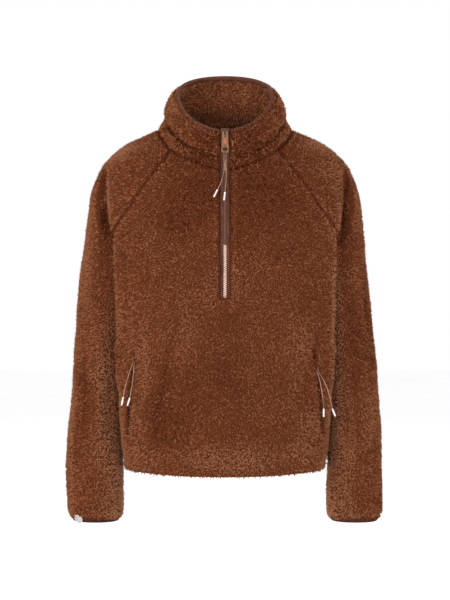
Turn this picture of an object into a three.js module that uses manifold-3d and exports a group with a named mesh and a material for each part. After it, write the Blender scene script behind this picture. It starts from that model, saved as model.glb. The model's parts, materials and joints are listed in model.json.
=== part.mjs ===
// A half-zip pullover in deep-pile fleece, filled out as if worn by nobody.
// Millimetres, +Z up, the front faces -Y. The origin is inside the neck, level with the shoulders.
import * as THREE from 'three';
import { mergeVertices } from 'three/addons/utils/BufferGeometryUtils.js';
import Module from 'manifold-3d';

// ---------- driving dimensions ----------
const CLOTH = 5;              // fleece backing with its pile
const PRESSED_CLOTH = 1.6;    // the same cloth where it folds under the arm
const COLLAR_CLOTH = 9;       // the collar is two layers of fleece
const SEAM_GAP = 0.36;
const HEM_Z = -578;
const UNDERARM_Z = -207;
const CUFF_Z = -662;
const ZIP_BOTTOM_Z = -291;
const SLOT_HALF = 8;          // half of the opening in the fleece that shows the zip
const POCKET_TOP_Z = -377;
const POCKET_BOTTOM_Z = -517;
const POCKET_WIDTH = 5;
const BINDING_HEIGHT = 5.5;
const BINDING_THICK = 3.6;
const TAPE_THICK = 1.4;
const CHAIN_HALF = 2.4;
const CHAIN_THICK = 2.2;
const CORD_DIAMETER = 1.7;
const TIP_DIAMETER = 3.2;
const TIP_LENGTH = 14;

// ---------- materials ----------
const finish = (color, roughness, metalness) => new THREE.MeshStandardMaterial({ color, roughness, metalness });
const FLEECE = finish(0x70422b, 1.0, 0.0);
const BINDING = finish(0x694132, 0.8, 0.0);
const CUFF_BINDING = finish(0x461e1b, 0.8, 0.0);
const TAPE = finish(0x5c3a2c, 0.8, 0.0);
const TEETH = finish(0xa8735a, 0.45, 0.8);
const BRASS = finish(0x96694b, 0.4, 0.9);
const COPPER = finish(0xb06e4c, 0.4, 0.9);
const CORD = finish(0xa5765c, 0.7, 0.0);
const TIP = finish(0xd9b8ae, 0.3, 0.8);
const LABEL = finish(0xbeb4af, 0.7, 0.0);

const garment = new THREE.Group();
const place = (name, geometry, material, parent = garment) => {
  const mesh = new THREE.Mesh(geometry, material);
  mesh.name = name;
  parent.add(mesh);
  return mesh;
};
const V = (x, y, z) => new THREE.Vector3(x, y, z);
const mix = (a, b, s) => a + (b - a) * s;

// ---------- tables ----------
// Cross-sections of the body below the arms. The sides are hollowed where the arms hang.
const BODY = [
  { z: -578, side: [168, 0], hollow: [166, -34], edge: [152, -66], front: 112, backHollow: [165, 34], backEdge: [148, 64], back: 104 },
  { z: -517, side: [167, 2], hollow: [174, -30], edge: [169, -62], front: 116, backHollow: [167, 36], backEdge: [156, 68], back: 109 },
  { z: -447, side: [161, 5], hollow: [169, -30], edge: [178, -64], front: 119, backHollow: [160, 42], backEdge: [162, 72], back: 112 },
  { z: -345, side: [149, 8], hollow: [157, -30], edge: [183, -69], front: 121, backHollow: [151, 46], backEdge: [168, 78], back: 115 },
  { z: -243, side: [137, 8], hollow: [141, -32], edge: [187, -76], front: 123, backHollow: [140, 46], backEdge: [172, 86], back: 117 },
  { z: -207, side: [141, 5], hollow: [142, -30], edge: [187, -77], front: 124, backHollow: [142, 44], backEdge: [172, 88], back: 118 },
  { z: -180, side: [144, 4], hollow: [147, -31], edge: [188, -76], front: 123, backHollow: [147, 43], backEdge: [171, 87], back: 119 },
];
// Cross-sections of the hanging sleeve, down to the cuff.
const SLEEVE = [
  { z: -662, outLeft: 259, outRight: 265, inner: 173.5, y: -4, deep: 36 },
  { z: -620, outLeft: 264, outRight: 267, inner: 173.5, y: -2, deep: 39 },
  { z: -560, outLeft: 265, outRight: 265, inner: 174.5, y: 0, deep: 44 },
  { z: -473, outLeft: 261, outRight: 262, inner: 171.5, y: 5, deep: 52 },
  { z: -345, outLeft: 253, outRight: 250.5, inner: 158.5, y: 8, deep: 59 },
  { z: -243, outLeft: 245, outRight: 240, inner: 145.5, y: 8, deep: 63 },
  { z: -207, outLeft: 240, outRight: 236.5, inner: 141, y: 5, deep: 63 },
];
// The raglan shoulder, from the underarm (t = 0) to the neck (t = 1): the two raglan seams, the
// hanging fold at the front of the arm, the arm itself and the line along the top of the shoulder.
// Up to FOLD_T the seams lie on the body's own sections, inside the hollow where the arm hangs.
const FOLD_T = 0.35;
const SEAM_RISE = 21;         // how far the seams climb between the underarm and FOLD_T
const SHOULDER = [
  { t: 0.2, seamFront: null, edge: [162, -34, -192], valley: [168, -26, -187], armFront: [206, -57, -180],
    top: [236, 5, -172], armBack: [206, 66, -182], backValley: [166, 32, -186], backEdge: [158, 38, -190],
    seamBack: null },
  { t: 0.35, seamFront: null, edge: [187, -66, -176], valley: [185, -38, -169], armFront: [211, -56, -152],
    top: [230, 4, -141], armBack: [211, 64, -156], backValley: [184, 52, -169], backEdge: [176, 70, -176],
    seamBack: null },
  { t: 0.55, seamFront: [157, -98, -142], edge: [190, -73, -131], valley: [193, -48, -124], armFront: [213, -47, -113],
    top: [223, 2, -106], armBack: [210, 52, -115], backValley: [194, 68, -124], backEdge: [176, 84, -130],
    seamBack: [146, 99, -134] },
  { t: 0.66, seamFront: [141, -102, -117], edge: [186, -70, -96], valley: [195, -48, -86], armFront: [203, -28, -72],
    top: [202, 0, -60], armBack: [199, 32, -71], backValley: [186, 58, -85], backEdge: [168, 78, -94],
    seamBack: [130, 97, -103] },
  { t: 0.78, seamFront: [122, -102, -91], edge: [152, -84, -66], valley: [166, -60, -50], armFront: [173, -32, -42],
    top: [173, -3, -34], armBack: [169, 26, -38], backValley: [157, 54, -49], backEdge: [140, 78, -60],
    seamBack: [111, 92, -69] },
  { t: 1, seamFront: [90, -80, -47], edge: [99, -63, -36], valley: [106, -46, -25], armFront: [111, -26, -14],
    top: [112, -6, -8], armBack: [108, 14, -3], backValley: [99, 31, 2], backEdge: [90, 43, 7],
    seamBack: [78, 53, 11] },
];
// The middle of the front and back above the underarm, at the same stations.
const YOKE = [
  { t: 0.35, frontMid: [116, -114, -183], front: [-123, -180], backMid: [106, 110, -182], back: [119, -178] },
  { t: 0.55, frontMid: [94, -117, -156], front: [-122, -157], backMid: [86, 112, -129], back: [118, -125] },
  { t: 0.78, frontMid: [72, -115, -114], front: [-118, -119], backMid: [67, 102, -61], back: [105, -54] },
  { t: 1, frontMid: [52, -101, -66], front: [-109, -82], backMid: [44, 64, 18], back: [68, 22] },
];
// The collar's outer face between the neck seam (h = 0) and its rim (h = 1): how far it stands
// outside the straight line between them, and how deep the slump crease is.
const COLLAR = [
  { h: 0, out: 0, crease: 0, thick: 5 },
  { h: 0.16, out: 1, crease: 2.5, thick: 8 },
  { h: 0.32, out: 3, crease: 9, thick: 9 },
  { h: 0.52, out: 7, crease: 1, thick: 9 },
  { h: 0.74, out: 9, crease: 0, thick: 9 },
  { h: 0.92, out: 7.5, crease: 0, thick: 9 },
  { h: 1, out: 4, crease: 0, thick: 7.5 },
];
const RIM = { halfWidth: 80, y: -18, front: -92, back: 56, frontZ: -19, sideZ: 49, backZ: 90 };

// ---------- smooth interpolation in a table ----------
const flat = (row) => Object.values(row).flat();
function smoothRow(rows, key, at) {
  let k = 0;
  while (k < rows.length - 2 && at > rows[k + 1][key]) k += 1;
  const slope = (j) => {
    const a = Math.max(j - 1, 0);
    const b = Math.min(j + 1, rows.length - 1);
    const [va, vb] = [flat(rows[a]), flat(rows[b])];
    return va.map((v, i) => (vb[i] - v) / (rows[b][key] - rows[a][key]));
  };
  const [p, q, m, n] = [flat(rows[k]), flat(rows[k + 1]), slope(k), slope(k + 1)];
  const span = rows[k + 1][key] - rows[k][key];
  const s = (at - rows[k][key]) / span;
  const values = p.map((v, i) => (2 * s ** 3 - 3 * s ** 2 + 1) * v + (s ** 3 - 2 * s ** 2 + s) * span * m[i]
    + (3 * s ** 2 - 2 * s ** 3) * q[i] + (s ** 3 - s ** 2) * span * n[i]);
  const result = {};
  let next = 0;
  for (const [name, value] of Object.entries(rows[0])) {
    const size = Array.isArray(value) ? value.length : 1;
    result[name] = size > 1 ? values.slice(next, next + size) : values[next];
    next += size;
  }
  return result;
}

// ---------- stations ----------
const LOWER_BODY = [HEM_Z, -548, POCKET_BOTTOM_Z, -482, -447, -412, POCKET_TOP_Z, -348, -320, ZIP_BOTTOM_Z, -263, -235];
const UPPER = [0, 0.2, 0.35, 0.45, 0.55, 0.66, 0.78, 0.89, 1];
const LOWER_SLEEVE = Array.from({ length: 16 }, (_, k) => mix(CUFF_Z, UNDERARM_Z, k / 16));
const RING_ANGLES = [0, 22, 50, 81, 112, 134.7, 157.3, 180, 202.7, 225.3, 248, 279, 310, 338, 360];
const CONTROL_ANGLES = [0, 22, 50, 112, 180, 248, 310, 338, 360];
const CONTROL_NAMES = ['seamFront', 'edge', 'valley', 'armFront', 'top', 'armBack', 'backValley', 'backEdge', 'seamBack'];
const CELLS_BETWEEN = [1, 1, 2, 3, 3, 2, 1, 1];

// ---------- sleeves ----------
function ringPoint(z, side, degrees) {
  const row = smoothRow(SLEEVE, 'z', z);
  const outer = side < 0 ? row.outLeft : row.outRight;
  const [middle, half] = [(outer + row.inner) / 2, (outer - row.inner) / 2];
  const angle = THREE.MathUtils.degToRad(degrees);
  return V(side * (middle - half * Math.cos(angle)), row.y - row.deep * Math.sin(angle), z);
}
function shoulderStations(side) {
  const ringStation = (t, z) => {
    const station = { t };
    CONTROL_ANGLES.forEach((angle, k) => {
      const p = ringPoint(z, side, angle);
      station[CONTROL_NAMES[k]] = [side * p.x, p.y, p.z];
    });
    return station;
  };
  const onBody = SHOULDER.map((row) => ({
    ...row,
    seamFront: row.seamFront ?? hollowSeam(row.t, -1).toArray(),
    seamBack: row.seamBack ?? hollowSeam(row.t, 1).toArray(),
  }));
  return [ringStation(-0.2, -243), ringStation(0, UNDERARM_Z), ...onBody];
}
const seamRow = (side, t) => {
  const row = smoothRow(shoulderStations(side), 't', t);
  if (t > FOLD_T) return row;
  return { ...row, seamFront: hollowSeam(t, -1).toArray(), seamBack: hollowSeam(t, 1).toArray() };
};
function sleeveRows(side) {
  const rows = LOWER_SLEEVE.map((z) => RING_ANGLES.map((angle) => ringPoint(z, side, angle)));
  for (const t of UPPER) {
    const row = seamRow(side, t);
    const controls = CONTROL_NAMES.map((name) => V(side * row[name][0], row[name][1], row[name][2]));
    const curve = new THREE.CatmullRomCurve3(controls);
    const points = [controls[0]];
    CELLS_BETWEEN.forEach((cells, k) => {
      for (let c = 1; c <= cells; c += 1) points.push(curve.getPoint((k + c / cells) / CELLS_BETWEEN.length));
    });
    rows.push(points);
  }
  return rows;
}

// ---------- body panels ----------
// Half a row of a panel, from the centre line to its side or raglan seam, as a fine polyline. Its
// controls are given from the seam to the centre.
function halfRow(points) {
  const inner = points.at(-1);
  const mirror = [...points, ...points.slice(0, -1).reverse().map((p) => V(2 * inner.x - p.x, p.y, p.z))];
  const curve = new THREE.CatmullRomCurve3(mirror);
  const steps = 160;
  return Array.from({ length: steps + 1 }, (_, k) => curve.getPoint(0.5 * (1 - k / steps)));
}
function along(polyline, distances) {
  const lengths = [0];
  for (let k = 1; k < polyline.length; k += 1) lengths.push(lengths[k - 1] + polyline[k].distanceTo(polyline[k - 1]));
  return distances.map((d) => {
    const at = Math.min(Math.max(d, 0), 1) * lengths.at(-1);
    let k = 1;
    while (k < lengths.length - 1 && lengths[k] < at) k += 1;
    return polyline[k - 1].clone().lerp(polyline[k], (at - lengths[k - 1]) / (lengths[k] - lengths[k - 1]));
  });
}
const lengthOf = (polyline) => polyline.slice(1).reduce((sum, p, k) => sum + p.distanceTo(polyline[k]), 0);

function lowerControls(z, side, face) {
  const row = smoothRow(BODY, 'z', z);
  const [hollow, edge] = face < 0 ? [row.hollow, row.edge] : [row.backHollow, row.backEdge];
  const deep = face < 0 ? -row.front : row.back;
  const mid = [0.63 * edge[0], mix(edge[1], deep, 0.76)];
  return [row.side, hollow, edge, mid, [0, deep]].map(([x, y]) => V(side * x, y, z));
}
// The body's own section at the height of station t, from the centre outwards, cut where the
// seam crosses it: the seam runs from the side, through the hollow, to the edge of the fold.
const hollowZ = (t) => UNDERARM_Z + SEAM_RISE * (t / FOLD_T);
function hollowSection(t, face) {
  const line = halfRow(lowerControls(hollowZ(t), 1, face));
  const edge = smoothRow(BODY, 'z', hollowZ(t))[face < 0 ? 'edge' : 'backEdge'];
  const edgeAt = line.findIndex((p) => Math.abs(p.y) <= Math.abs(edge[1]));
  const seamAt = Math.round(mix(line.length - 1, edgeAt, t / FOLD_T));
  return line.slice(0, seamAt + 1);
}
function hollowSeam(t, face) {
  return hollowSection(t, face).at(-1);
}
function upperHalfRow(t, side, face) {
  const start = lowerControls(UNDERARM_Z, 1, face);
  const base = { t: 0, frontMid: start[3].toArray(), front: [start[4].y, start[4].z], backMid: start[3].toArray(),
    back: [start[4].y, start[4].z] };
  const row = smoothRow([base, ...YOKE], 't', t);
  const mid = face < 0 ? row.frontMid : row.backMid;
  const centre = face < 0 ? row.front : row.back;
  if (t <= FOLD_T) {
    const section = hollowSection(t, face);
    const reach = section.at(-1).x;
    return section.map((p) => V(side * p.x, p.y, mix(centre[1], p.z, Math.min(p.x / reach, 1) ** 2)));
  }
  const seam = seamRow(side, t)[face < 0 ? 'seamFront' : 'seamBack'];
  const points = [seam, mid, [0, ...centre]];
  return halfRow(points.map(([x, y, z]) => V(side * x, y, z)));
}
// The pocket openings slant out towards the hem.
const POCKET_TOP_ARC = 151;
const POCKET_FOOT_ARC = 176;
const pocketArc = (z) => mix(POCKET_TOP_ARC, POCKET_FOOT_ARC,
  THREE.MathUtils.clamp((POCKET_TOP_Z - z) / (POCKET_TOP_Z - POCKET_BOTTOM_Z), 0, 1));
// Columns of the front panel, as distances from the centre: the zip opening, the pocket opening,
// the edge of the fold beside the arm, and the hollow behind it.
const NARROWEST_HOLLOW = 12;
function frontArcs(length, edge, z) {
  const turn = Math.min(edge, length - NARROWEST_HOLLOW);
  const pocket = Math.min(pocketArc(z), 0.95 * turn);
  const [near, far] = [pocket - POCKET_WIDTH / 2, pocket + POCKET_WIDTH / 2];
  return [0, SLOT_HALF, mix(SLOT_HALF, near, 0.25), mix(SLOT_HALF, near, 0.5), mix(SLOT_HALF, near, 0.76), near, far,
    turn, mix(turn, length, 0.36), mix(turn, length, 0.7), length];
}
function backArcs(length, edge) {
  const turn = Math.min(edge, length - NARROWEST_HOLLOW);
  return [0, 0.22 * turn, 0.44 * turn, 0.65 * turn, 0.84 * turn, turn, mix(turn, length, 0.5), length];
}
function panelRows(face) {
  const aboveFold = hollowZ(FOLD_T);
  const rowOf = (lineOf, z) => {
    const edge = smoothRow(BODY, 'z', z)[face < 0 ? 'edge' : 'backEdge'];
    const halves = [-1, 1].map((side) => {
      const line = lineOf(side);
      const turnAt = z > aboveFold ? -1 : line.findIndex((p) => Math.abs(p.y) <= Math.abs(edge[1]));
      const length = lengthOf(line);
      const edgeArc = turnAt < 0 ? length : lengthOf(line.slice(0, turnAt + 1));
      const arcs = face < 0 ? frontArcs(length, edgeArc, z) : backArcs(length, edgeArc);
      return along(line, arcs.map((arc) => arc / length));
    });
    return [...halves[0].slice(1).reverse(), ...halves[1]];
  };
  return [
    ...LOWER_BODY.map((z) => rowOf((side) => halfRow(lowerControls(z, side, face)), z)),
    ...UPPER.map((t) => rowOf((side) => upperHalfRow(t, side, face), hollowZ(t))),
  ];
}

// ---------- patches of cloth ----------
// A patch is a grid of points on the outer face, with a normal at each, a thickness for each row
// and a list of its edges that are seams.
function patch(name, rows, { thick = () => CLOTH, masked = () => false, seams = {}, cornerAt = () => null } = {}) {
  return { name, rows, thick, masked, seams, cornerAt, normals: rows.map((row) => row.map(() => V(0, 0, 0))) };
}
function ownNormals(cloth, flip) {
  const { rows, normals } = cloth;
  for (let i = 0; i < rows.length - 1; i += 1) {
    for (let j = 0; j < rows[0].length - 1; j += 1) {
      const [a, b, c, d] = [rows[i][j], rows[i][j + 1], rows[i + 1][j + 1], rows[i + 1][j]];
      const normal = c.clone().sub(a).cross(d.clone().sub(b)).multiplyScalar(flip);
      for (const [r, s] of [[i, j], [i, j + 1], [i + 1, j + 1], [i + 1, j]]) normals[r][s].add(normal);
    }
  }
}
function weldNormals(patches) {
  const shared = new Map();
  const keyOf = (p) => p.toArray().map((v) => Math.round(v * 20)).join(' ');
  for (const { rows, normals } of patches) {
    rows.forEach((row, i) => row.forEach((p, j) => {
      const key = keyOf(p);
      shared.set(key, (shared.get(key) ?? V(0, 0, 0)).add(normals[i][j].clone().normalize()));
    }));
  }
  for (const { rows, normals } of patches) {
    rows.forEach((row, i) => row.forEach((p, j) => normals[i][j].copy(shared.get(keyOf(p))).normalize()));
  }
}
// Half the seam gap is taken off each seam edge, square to the seam and in the cloth's own surface.
function seamShift(cloth, i, j) {
  const { rows, normals, seams } = cloth;
  const corner = cloth.cornerAt(i, j);
  if (corner) return corner.clone().multiplyScalar(SEAM_GAP / 2);
  const [last, end] = [rows.length - 1, rows[0].length - 1];
  const shift = V(0, 0, 0);
  const pull = (before, after, inside) => {
    const square = normals[i][j].clone().cross(after.clone().sub(before)).normalize();
    if (square.dot(inside.clone().sub(rows[i][j])) < 0) square.negate();
    shift.addScaledVector(square, SEAM_GAP / 2);
  };
  const up = () => [rows[Math.max(i - 1, 0)][j], rows[Math.min(i + 1, last)][j]];
  const across = () => [rows[i][Math.max(j - 1, 0)], rows[i][Math.min(j + 1, end)]];
  if (j === 0 && seams.left) pull(...up(), rows[i][1]);
  if (j === end && seams.right) pull(...up(), rows[i][end - 1]);
  if (i === last && seams.top) pull(...across(), rows[last - 1][j]);
  if (i === 0 && seams.bottom) pull(...across(), rows[1][j]);
  return shift;
}
// How far the two halves of a cell turn away from the cloth's own normals, split from its first
// corner to its third.
const TURNED_AWAY = 0.2;
function worstFacing(cloth, flip, corners) {
  const halves = [[0, 1, 2], [0, 2, 3]].map((half) => half.map((k) => corners[k]));
  return Math.min(...halves.flatMap((half) => {
    const [a, b, c] = half.map(([r, s]) => cloth.outer[r][s]);
    const normal = b.clone().sub(a).cross(c.clone().sub(a)).normalize().multiplyScalar(flip);
    return half.map(([r, s]) => normal.dot(cloth.facings[r][s]));
  }));
}
function clothGeometry(cloth, flip) {
  const { rows, thick, masked } = cloth;
  const facings = cloth.facings ??= cloth.normals;
  const [high, wide] = [rows.length, rows[0].length];
  const positions = [];
  const faces = [cloth.outer = [], cloth.inner = []];
  rows.forEach((row, i) => {
    cloth.outer.push([]);
    cloth.inner.push([]);
    row.forEach((p, j) => {
      const at = p.clone().add(seamShift(cloth, i, j));
      cloth.outer[i].push(at);
      cloth.inner[i].push(at.clone().addScaledVector(facings[i][j], -thick(i, j)));
    });
  });
  for (const face of faces) face.flat().forEach((p) => positions.push(...p.toArray()));
  const index = [];
  const out = (i, j) => i * wide + j;
  const inn = (i, j) => high * wide + i * wide + j;
  const open = (i, j) => i < 0 || j < 0 || i >= high - 1 || j >= wide - 1 || masked(i, j);
  const quad = (a, b, c, d) => index.push(...(flip > 0 ? [a, b, c, a, c, d] : [a, c, b, a, d, c]));
  // A seam's two walls face each other, so both split their quads along the same diagonal.
  const rank = (k) => positions[3 * k] * 0.31 + positions[3 * k + 1] * 0.53 + positions[3 * k + 2];
  const wall = (a, b, c, d) => (rank(a) > rank(d) ? quad(a, b, c, d) : quad(b, c, d, a));
  for (let i = 0; i < high - 1; i += 1) {
    for (let j = 0; j < wide - 1; j += 1) {
      if (masked(i, j)) continue;
      const corners = [[i, j], [i, j + 1], [i + 1, j + 1], [i + 1, j]];
      const turned = [...corners.slice(1), corners[0]];
      const [first, second] = [corners, turned].map((order) => worstFacing(cloth, flip, order));
      const order = first > TURNED_AWAY || first > second ? corners : turned;
      quad(...order.map(([r, s]) => out(r, s)));
      quad(...[0, 3, 2, 1].map((k) => inn(...order[k])));
      if (open(i - 1, j)) wall(out(i, j), inn(i, j), inn(i, j + 1), out(i, j + 1));
      if (open(i + 1, j)) wall(out(i + 1, j + 1), inn(i + 1, j + 1), inn(i + 1, j), out(i + 1, j));
      if (open(i, j - 1)) wall(out(i + 1, j), inn(i + 1, j), inn(i, j), out(i, j));
      if (open(i, j + 1)) wall(out(i, j + 1), inn(i, j + 1), inn(i + 1, j + 1), out(i + 1, j + 1));
    }
  }
  return compact(positions, index);
}
// Drops the points that no face uses.
function compact(positions, index) {
  const kept = new Map();
  const points = [];
  const faces = index.map((old) => {
    if (!kept.has(old)) {
      kept.set(old, kept.size);
      points.push(...positions.slice(3 * old, 3 * old + 3));
    }
    return kept.get(old);
  });
  const geometry = new THREE.BufferGeometry();
  geometry.setAttribute('position', new THREE.Float32BufferAttribute(points, 3));
  geometry.setIndex(faces);
  geometry.computeVertexNormals();
  return geometry;
}

// ---------- the main cloth ----------
const ROWS_BELOW = LOWER_BODY.length;
const frontMiddle = 10;
const zipRow = LOWER_BODY.indexOf(ZIP_BOTTOM_Z);
const pocketRows = [LOWER_BODY.indexOf(POCKET_BOTTOM_Z), LOWER_BODY.indexOf(POCKET_TOP_Z)];
const pocketColumns = [frontMiddle - 6, frontMiddle + 5];
const inPocket = (i, j) => pocketColumns.includes(j) && i >= pocketRows[0] && i < pocketRows[1];
const inSlot = (i, j) => (j === frontMiddle - 1 || j === frontMiddle) && i >= zipRow;

// The cloth is pressed thin in the few cells where the four seams meet under the arm.
const pressed = (underarmRow, lastColumn, reach) => (i, j) => {
  const atSeam = Math.min(j, lastColumn - j) <= reach;
  return atSeam && i >= underarmRow - 1 && i <= underarmRow + 2 ? PRESSED_CLOTH : CLOTH;
};
const threeSeams = { left: true, right: true, top: true };
// Under the arm four corners meet at one point, and each is moved its own way.
const underarm = (row, last, moveOf) => (i, j) => (i === row && (j === 0 || j === last) ? moveOf(j) : null);
const front = patch('front', panelRows(-1), {
  thick: pressed(ROWS_BELOW, 2 * frontMiddle, 3),
  masked: (i, j) => inPocket(i, j) || inSlot(i, j),
  seams: threeSeams,
  cornerAt: underarm(ROWS_BELOW, 2 * frontMiddle, (j) => V(j === 0 ? 1 : -1, -1, 0)),
});
const BACK_COLUMNS = 14;
const back = patch('back', panelRows(1), {
  thick: pressed(ROWS_BELOW, BACK_COLUMNS, 2),
  seams: threeSeams,
  cornerAt: underarm(ROWS_BELOW, BACK_COLUMNS, (j) => V(j === 0 ? 1 : -1, 1, 0)),
});
const SLEEVE_COLUMNS = RING_ANGLES.length - 1;
const sleeves = [-1, 1].map((side) => patch(side < 0 ? 'sleeve_left' : 'sleeve_right', sleeveRows(side), {
  thick: pressed(LOWER_SLEEVE.length, SLEEVE_COLUMNS, 2),
  seams: threeSeams,
  cornerAt: underarm(LOWER_SLEEVE.length, SLEEVE_COLUMNS, (j) => V(side, j === 0 ? -1 : 1, 0)),
}));

// ---------- collar ----------
function neckLine() {
  const top = (cloth) => cloth.rows.at(-1);
  const [left, right] = sleeves.map(top);
  return [
    ...top(front).slice(0, frontMiddle).reverse(),
    ...left.slice(1),
    ...top(back).slice(1),
    ...right.slice().reverse().slice(1),
    ...top(front).slice(frontMiddle + 1).reverse().slice(1),
  ];
}
const NECK_CENTRE_Y = -20;
const rimPoint = (angle) => {
  const [s, c] = [Math.sin(angle), Math.cos(angle)];
  const y = c > 0 ? mix(RIM.y, RIM.front, c) : mix(RIM.y, RIM.back, -c);
  const z = c > 0 ? mix(RIM.sideZ, RIM.frontZ, c ** 1.3) : mix(RIM.sideZ, RIM.backZ, (-c) ** 0.7);
  return V(RIM.halfWidth * s, y, z);
};
// The slump crease is deep on the wearer's right and shallower on the left, and fades at the front.
function creaseDepth(angle) {
  const bump = (centre, width) => Math.exp(-(((angle - centre) / width) ** 2));
  return 1.0 * bump(-1.25, 0.75) + 0.75 * bump(1.4, 0.6) + 0.35 * bump(3.1, 0.9) + 0.35 * bump(-3.1, 0.9);
}
function collarRows() {
  return COLLAR.map((row) => neckLine().map((base) => {
    const angle = Math.atan2(base.x, -(base.y - NECK_CENTRE_Y));
    const outward = V(Math.sin(angle), -Math.cos(angle), 0);
    const slot = Math.abs(base.x) < SLOT_HALF + 1 && base.y < NECK_CENTRE_Y;
    const rim = slot ? rimPoint(Math.sign(base.x) * SLOT_HALF / RIM.halfWidth) : rimPoint(angle);
    const point = base.clone().lerp(rim, row.h);
    point.addScaledVector(outward, row.out - row.crease * creaseDepth(angle));
    if (slot) point.x = Math.sign(base.x) * SLOT_HALF;
    return point;
  }));
}
const collar = patch('collar', collarRows(), {
  thick: (i) => COLLAR[i].thick,
  seams: { bottom: true },
});

const FLIP = { front: 1, back: -1, sleeve_left: -1, sleeve_right: 1, collar: -1 };
const mainCloth = [front, back, ...sleeves, collar];
for (const cloth of mainCloth) ownNormals(cloth, FLIP[cloth.name]);
weldNormals(mainCloth);
// Where a sleeve folds flat against the body its cloth keeps its own facing, toward the body.
const FOLD_FACINGS = [
  { row: 0, column: 0, facing: [0.7, 0, -0.7] },
  { row: 0, column: 1, facing: [0.7, -0.5, -0.5] },
  { row: 0, column: SLEEVE_COLUMNS - 1, facing: [0.6, 0.5, -0.6] },
  { row: 0, column: SLEEVE_COLUMNS, facing: [0.7, 0, -0.7] },
  { row: 1, column: 0, facing: [0.4, -0.6, -0.65] },
  { row: 1, column: SLEEVE_COLUMNS, facing: [0.4, 0.6, -0.65] },
];
sleeves.forEach((sleeve, k) => {
  sleeve.facings = sleeve.normals.map((row) => row.map((normal) => normal.clone()));
  for (const { row, column, facing: [x, y, z] } of FOLD_FACINGS) {
    sleeve.facings[LOWER_SLEEVE.length + row][column].set(k === 0 ? x : -x, y, z).normalize();
  }
});
for (const panel of [front, back]) {
  for (const j of [0, panel.rows[0].length - 1]) panel.normals[ROWS_BELOW][j].set(0, 0, -1);
}
// The collar's columns lie close together by the raglan seams, so its facings are evened out.
collar.facings = collar.normals.map((row, i) => row.map((normal, j) => {
  const reach = i === 0 ? 0 : 2;
  return row.slice(Math.max(j - reach, 0), j + reach + 1).reduce((sum, n) => sum.add(n), V(0, 0, 0)).normalize();
}));
for (const cloth of mainCloth) place(cloth.name, clothGeometry(cloth, FLIP[cloth.name]), FLEECE);

// ---------- swept sections ----------
// A closed solid through rings of points that all have the same count, capped at both ends.
function solidThrough(rings) {
  const size = rings[0].length;
  const positions = rings.flat().flatMap((p) => p.toArray());
  const index = [];
  for (let k = 0; k < rings.length - 1; k += 1) {
    for (let c = 0; c < size; c += 1) {
      const [a, b] = [k * size + c, k * size + ((c + 1) % size)];
      index.push(a, b, b + size, a, b + size, a + size);
    }
  }
  const last = (rings.length - 1) * size;
  for (let c = 1; c < size - 1; c += 1) index.push(0, c + 1, c, last, last + c, last + c + 1);
  return compact(positions, index);
}
// Seen along the sweep, the section runs anticlockwise about the direction of travel.
function sweep(frames, section) {
  return solidThrough(frames.map(({ at, wide, deep }) => section.map(([w, d]) =>
    at.clone().addScaledVector(wide, w).addScaledVector(deep, d))));
}

// ---------- collar binding ----------
const BINDING_SECTION = [[3.4, 0.7], [3.6, 5.6], [2.0, 7.2], [-2.0, 7.2], [-3.6, 5.6], [-3.4, 0.7]];
function rimFrames() {
  const [outer, inner] = [collar.outer, collar.inner];
  const top = outer.length - 1;
  return outer[top].map((p, j) => {
    const middle = p.clone().add(inner[top][j]).multiplyScalar(0.5);
    const below = outer[top - 1][j].clone().add(inner[top - 1][j]).multiplyScalar(0.5);
    const deep = middle.clone().sub(below).normalize();
    const wide = p.clone().sub(inner[top][j]);
    wide.addScaledVector(deep, -wide.dot(deep)).normalize();
    return { at: middle, wide, deep };
  });
}
place('collar_binding', sweep(rimFrames(), BINDING_SECTION), BINDING);

// ---------- cuff bindings ----------
sleeves.forEach((sleeve, k) => {
  const drops = [-SEAM_GAP, -0.5 * BINDING_HEIGHT, -BINDING_HEIGHT];
  const insets = [0.7, 0.5, 1.1];
  const rows = drops.map((drop, i) => sleeve.outer[0].map((p, j) =>
    p.clone().addScaledVector(sleeve.normals[0][j], -insets[i]).add(V(0, 0, drop)))).reverse();
  const binding = patch(`cuff_${k ? 'right' : 'left'}_binding`, rows, { thick: () => BINDING_THICK });
  binding.normals = rows.map(() => sleeve.normals[0].map((n) => n.clone()));
  place(binding.name, clothGeometry(binding, FLIP[sleeve.name]), CUFF_BINDING);
});

// ---------- front zip ----------
// The line of the zip on the outer face of the cloth, from its bottom to the rim, with the
// direction out of the cloth at each point.
const TAPE_DEPTH = 1.2;       // how far the tape lies below the outer face
const CHAIN_DEPTH = 0.6;
function zipLine() {
  const onFront = front.rows.slice(zipRow).map((row) => row[frontMiddle + 1]);
  const onCollar = collar.rows.slice(1).map((row) => row[0]);
  // The zip runs straight past the slider, up to the rim.
  const line = [...onFront, ...onCollar.slice(0, -2), onCollar.at(-1)].map((p) => V(0, p.y, p.z));
  return line.map((at, k) => {
    const run = line[Math.min(k + 1, line.length - 1)].clone().sub(line[Math.max(k - 1, 0)]).normalize();
    return { at, run, out: V(0, -run.z, run.y) };
  });
}
const zip = zipLine();
const zipAt = (z) => {
  const k = Math.max(1, zip.findIndex((f) => f.at.z >= z));
  const s = (z - zip[k - 1].at.z) / (zip[k].at.z - zip[k - 1].at.z);
  const run = zip[k].at.clone().sub(zip[k - 1].at).normalize();
  return { at: zip[k - 1].at.clone().lerp(zip[k].at, s), out: V(0, -run.z, run.y) };
};
function zipStrip(fromZ, toZ, x0, x1, depth, thick) {
  const stations = [zipAt(fromZ), ...zip.filter((f) => f.at.z > fromZ + 2 && f.at.z < toZ - 2), zipAt(toZ)];
  return solidThrough(stations.map(({ at, out }) => [[x0, 0], [x1, 0], [x1, thick], [x0, thick]].map(([x, d]) =>
    at.clone().add(V(x, 0, 0)).addScaledVector(out, -depth - d))));
}
const STOP_HEIGHT = 4;
const SLIDER_Z = -25.4;
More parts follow.
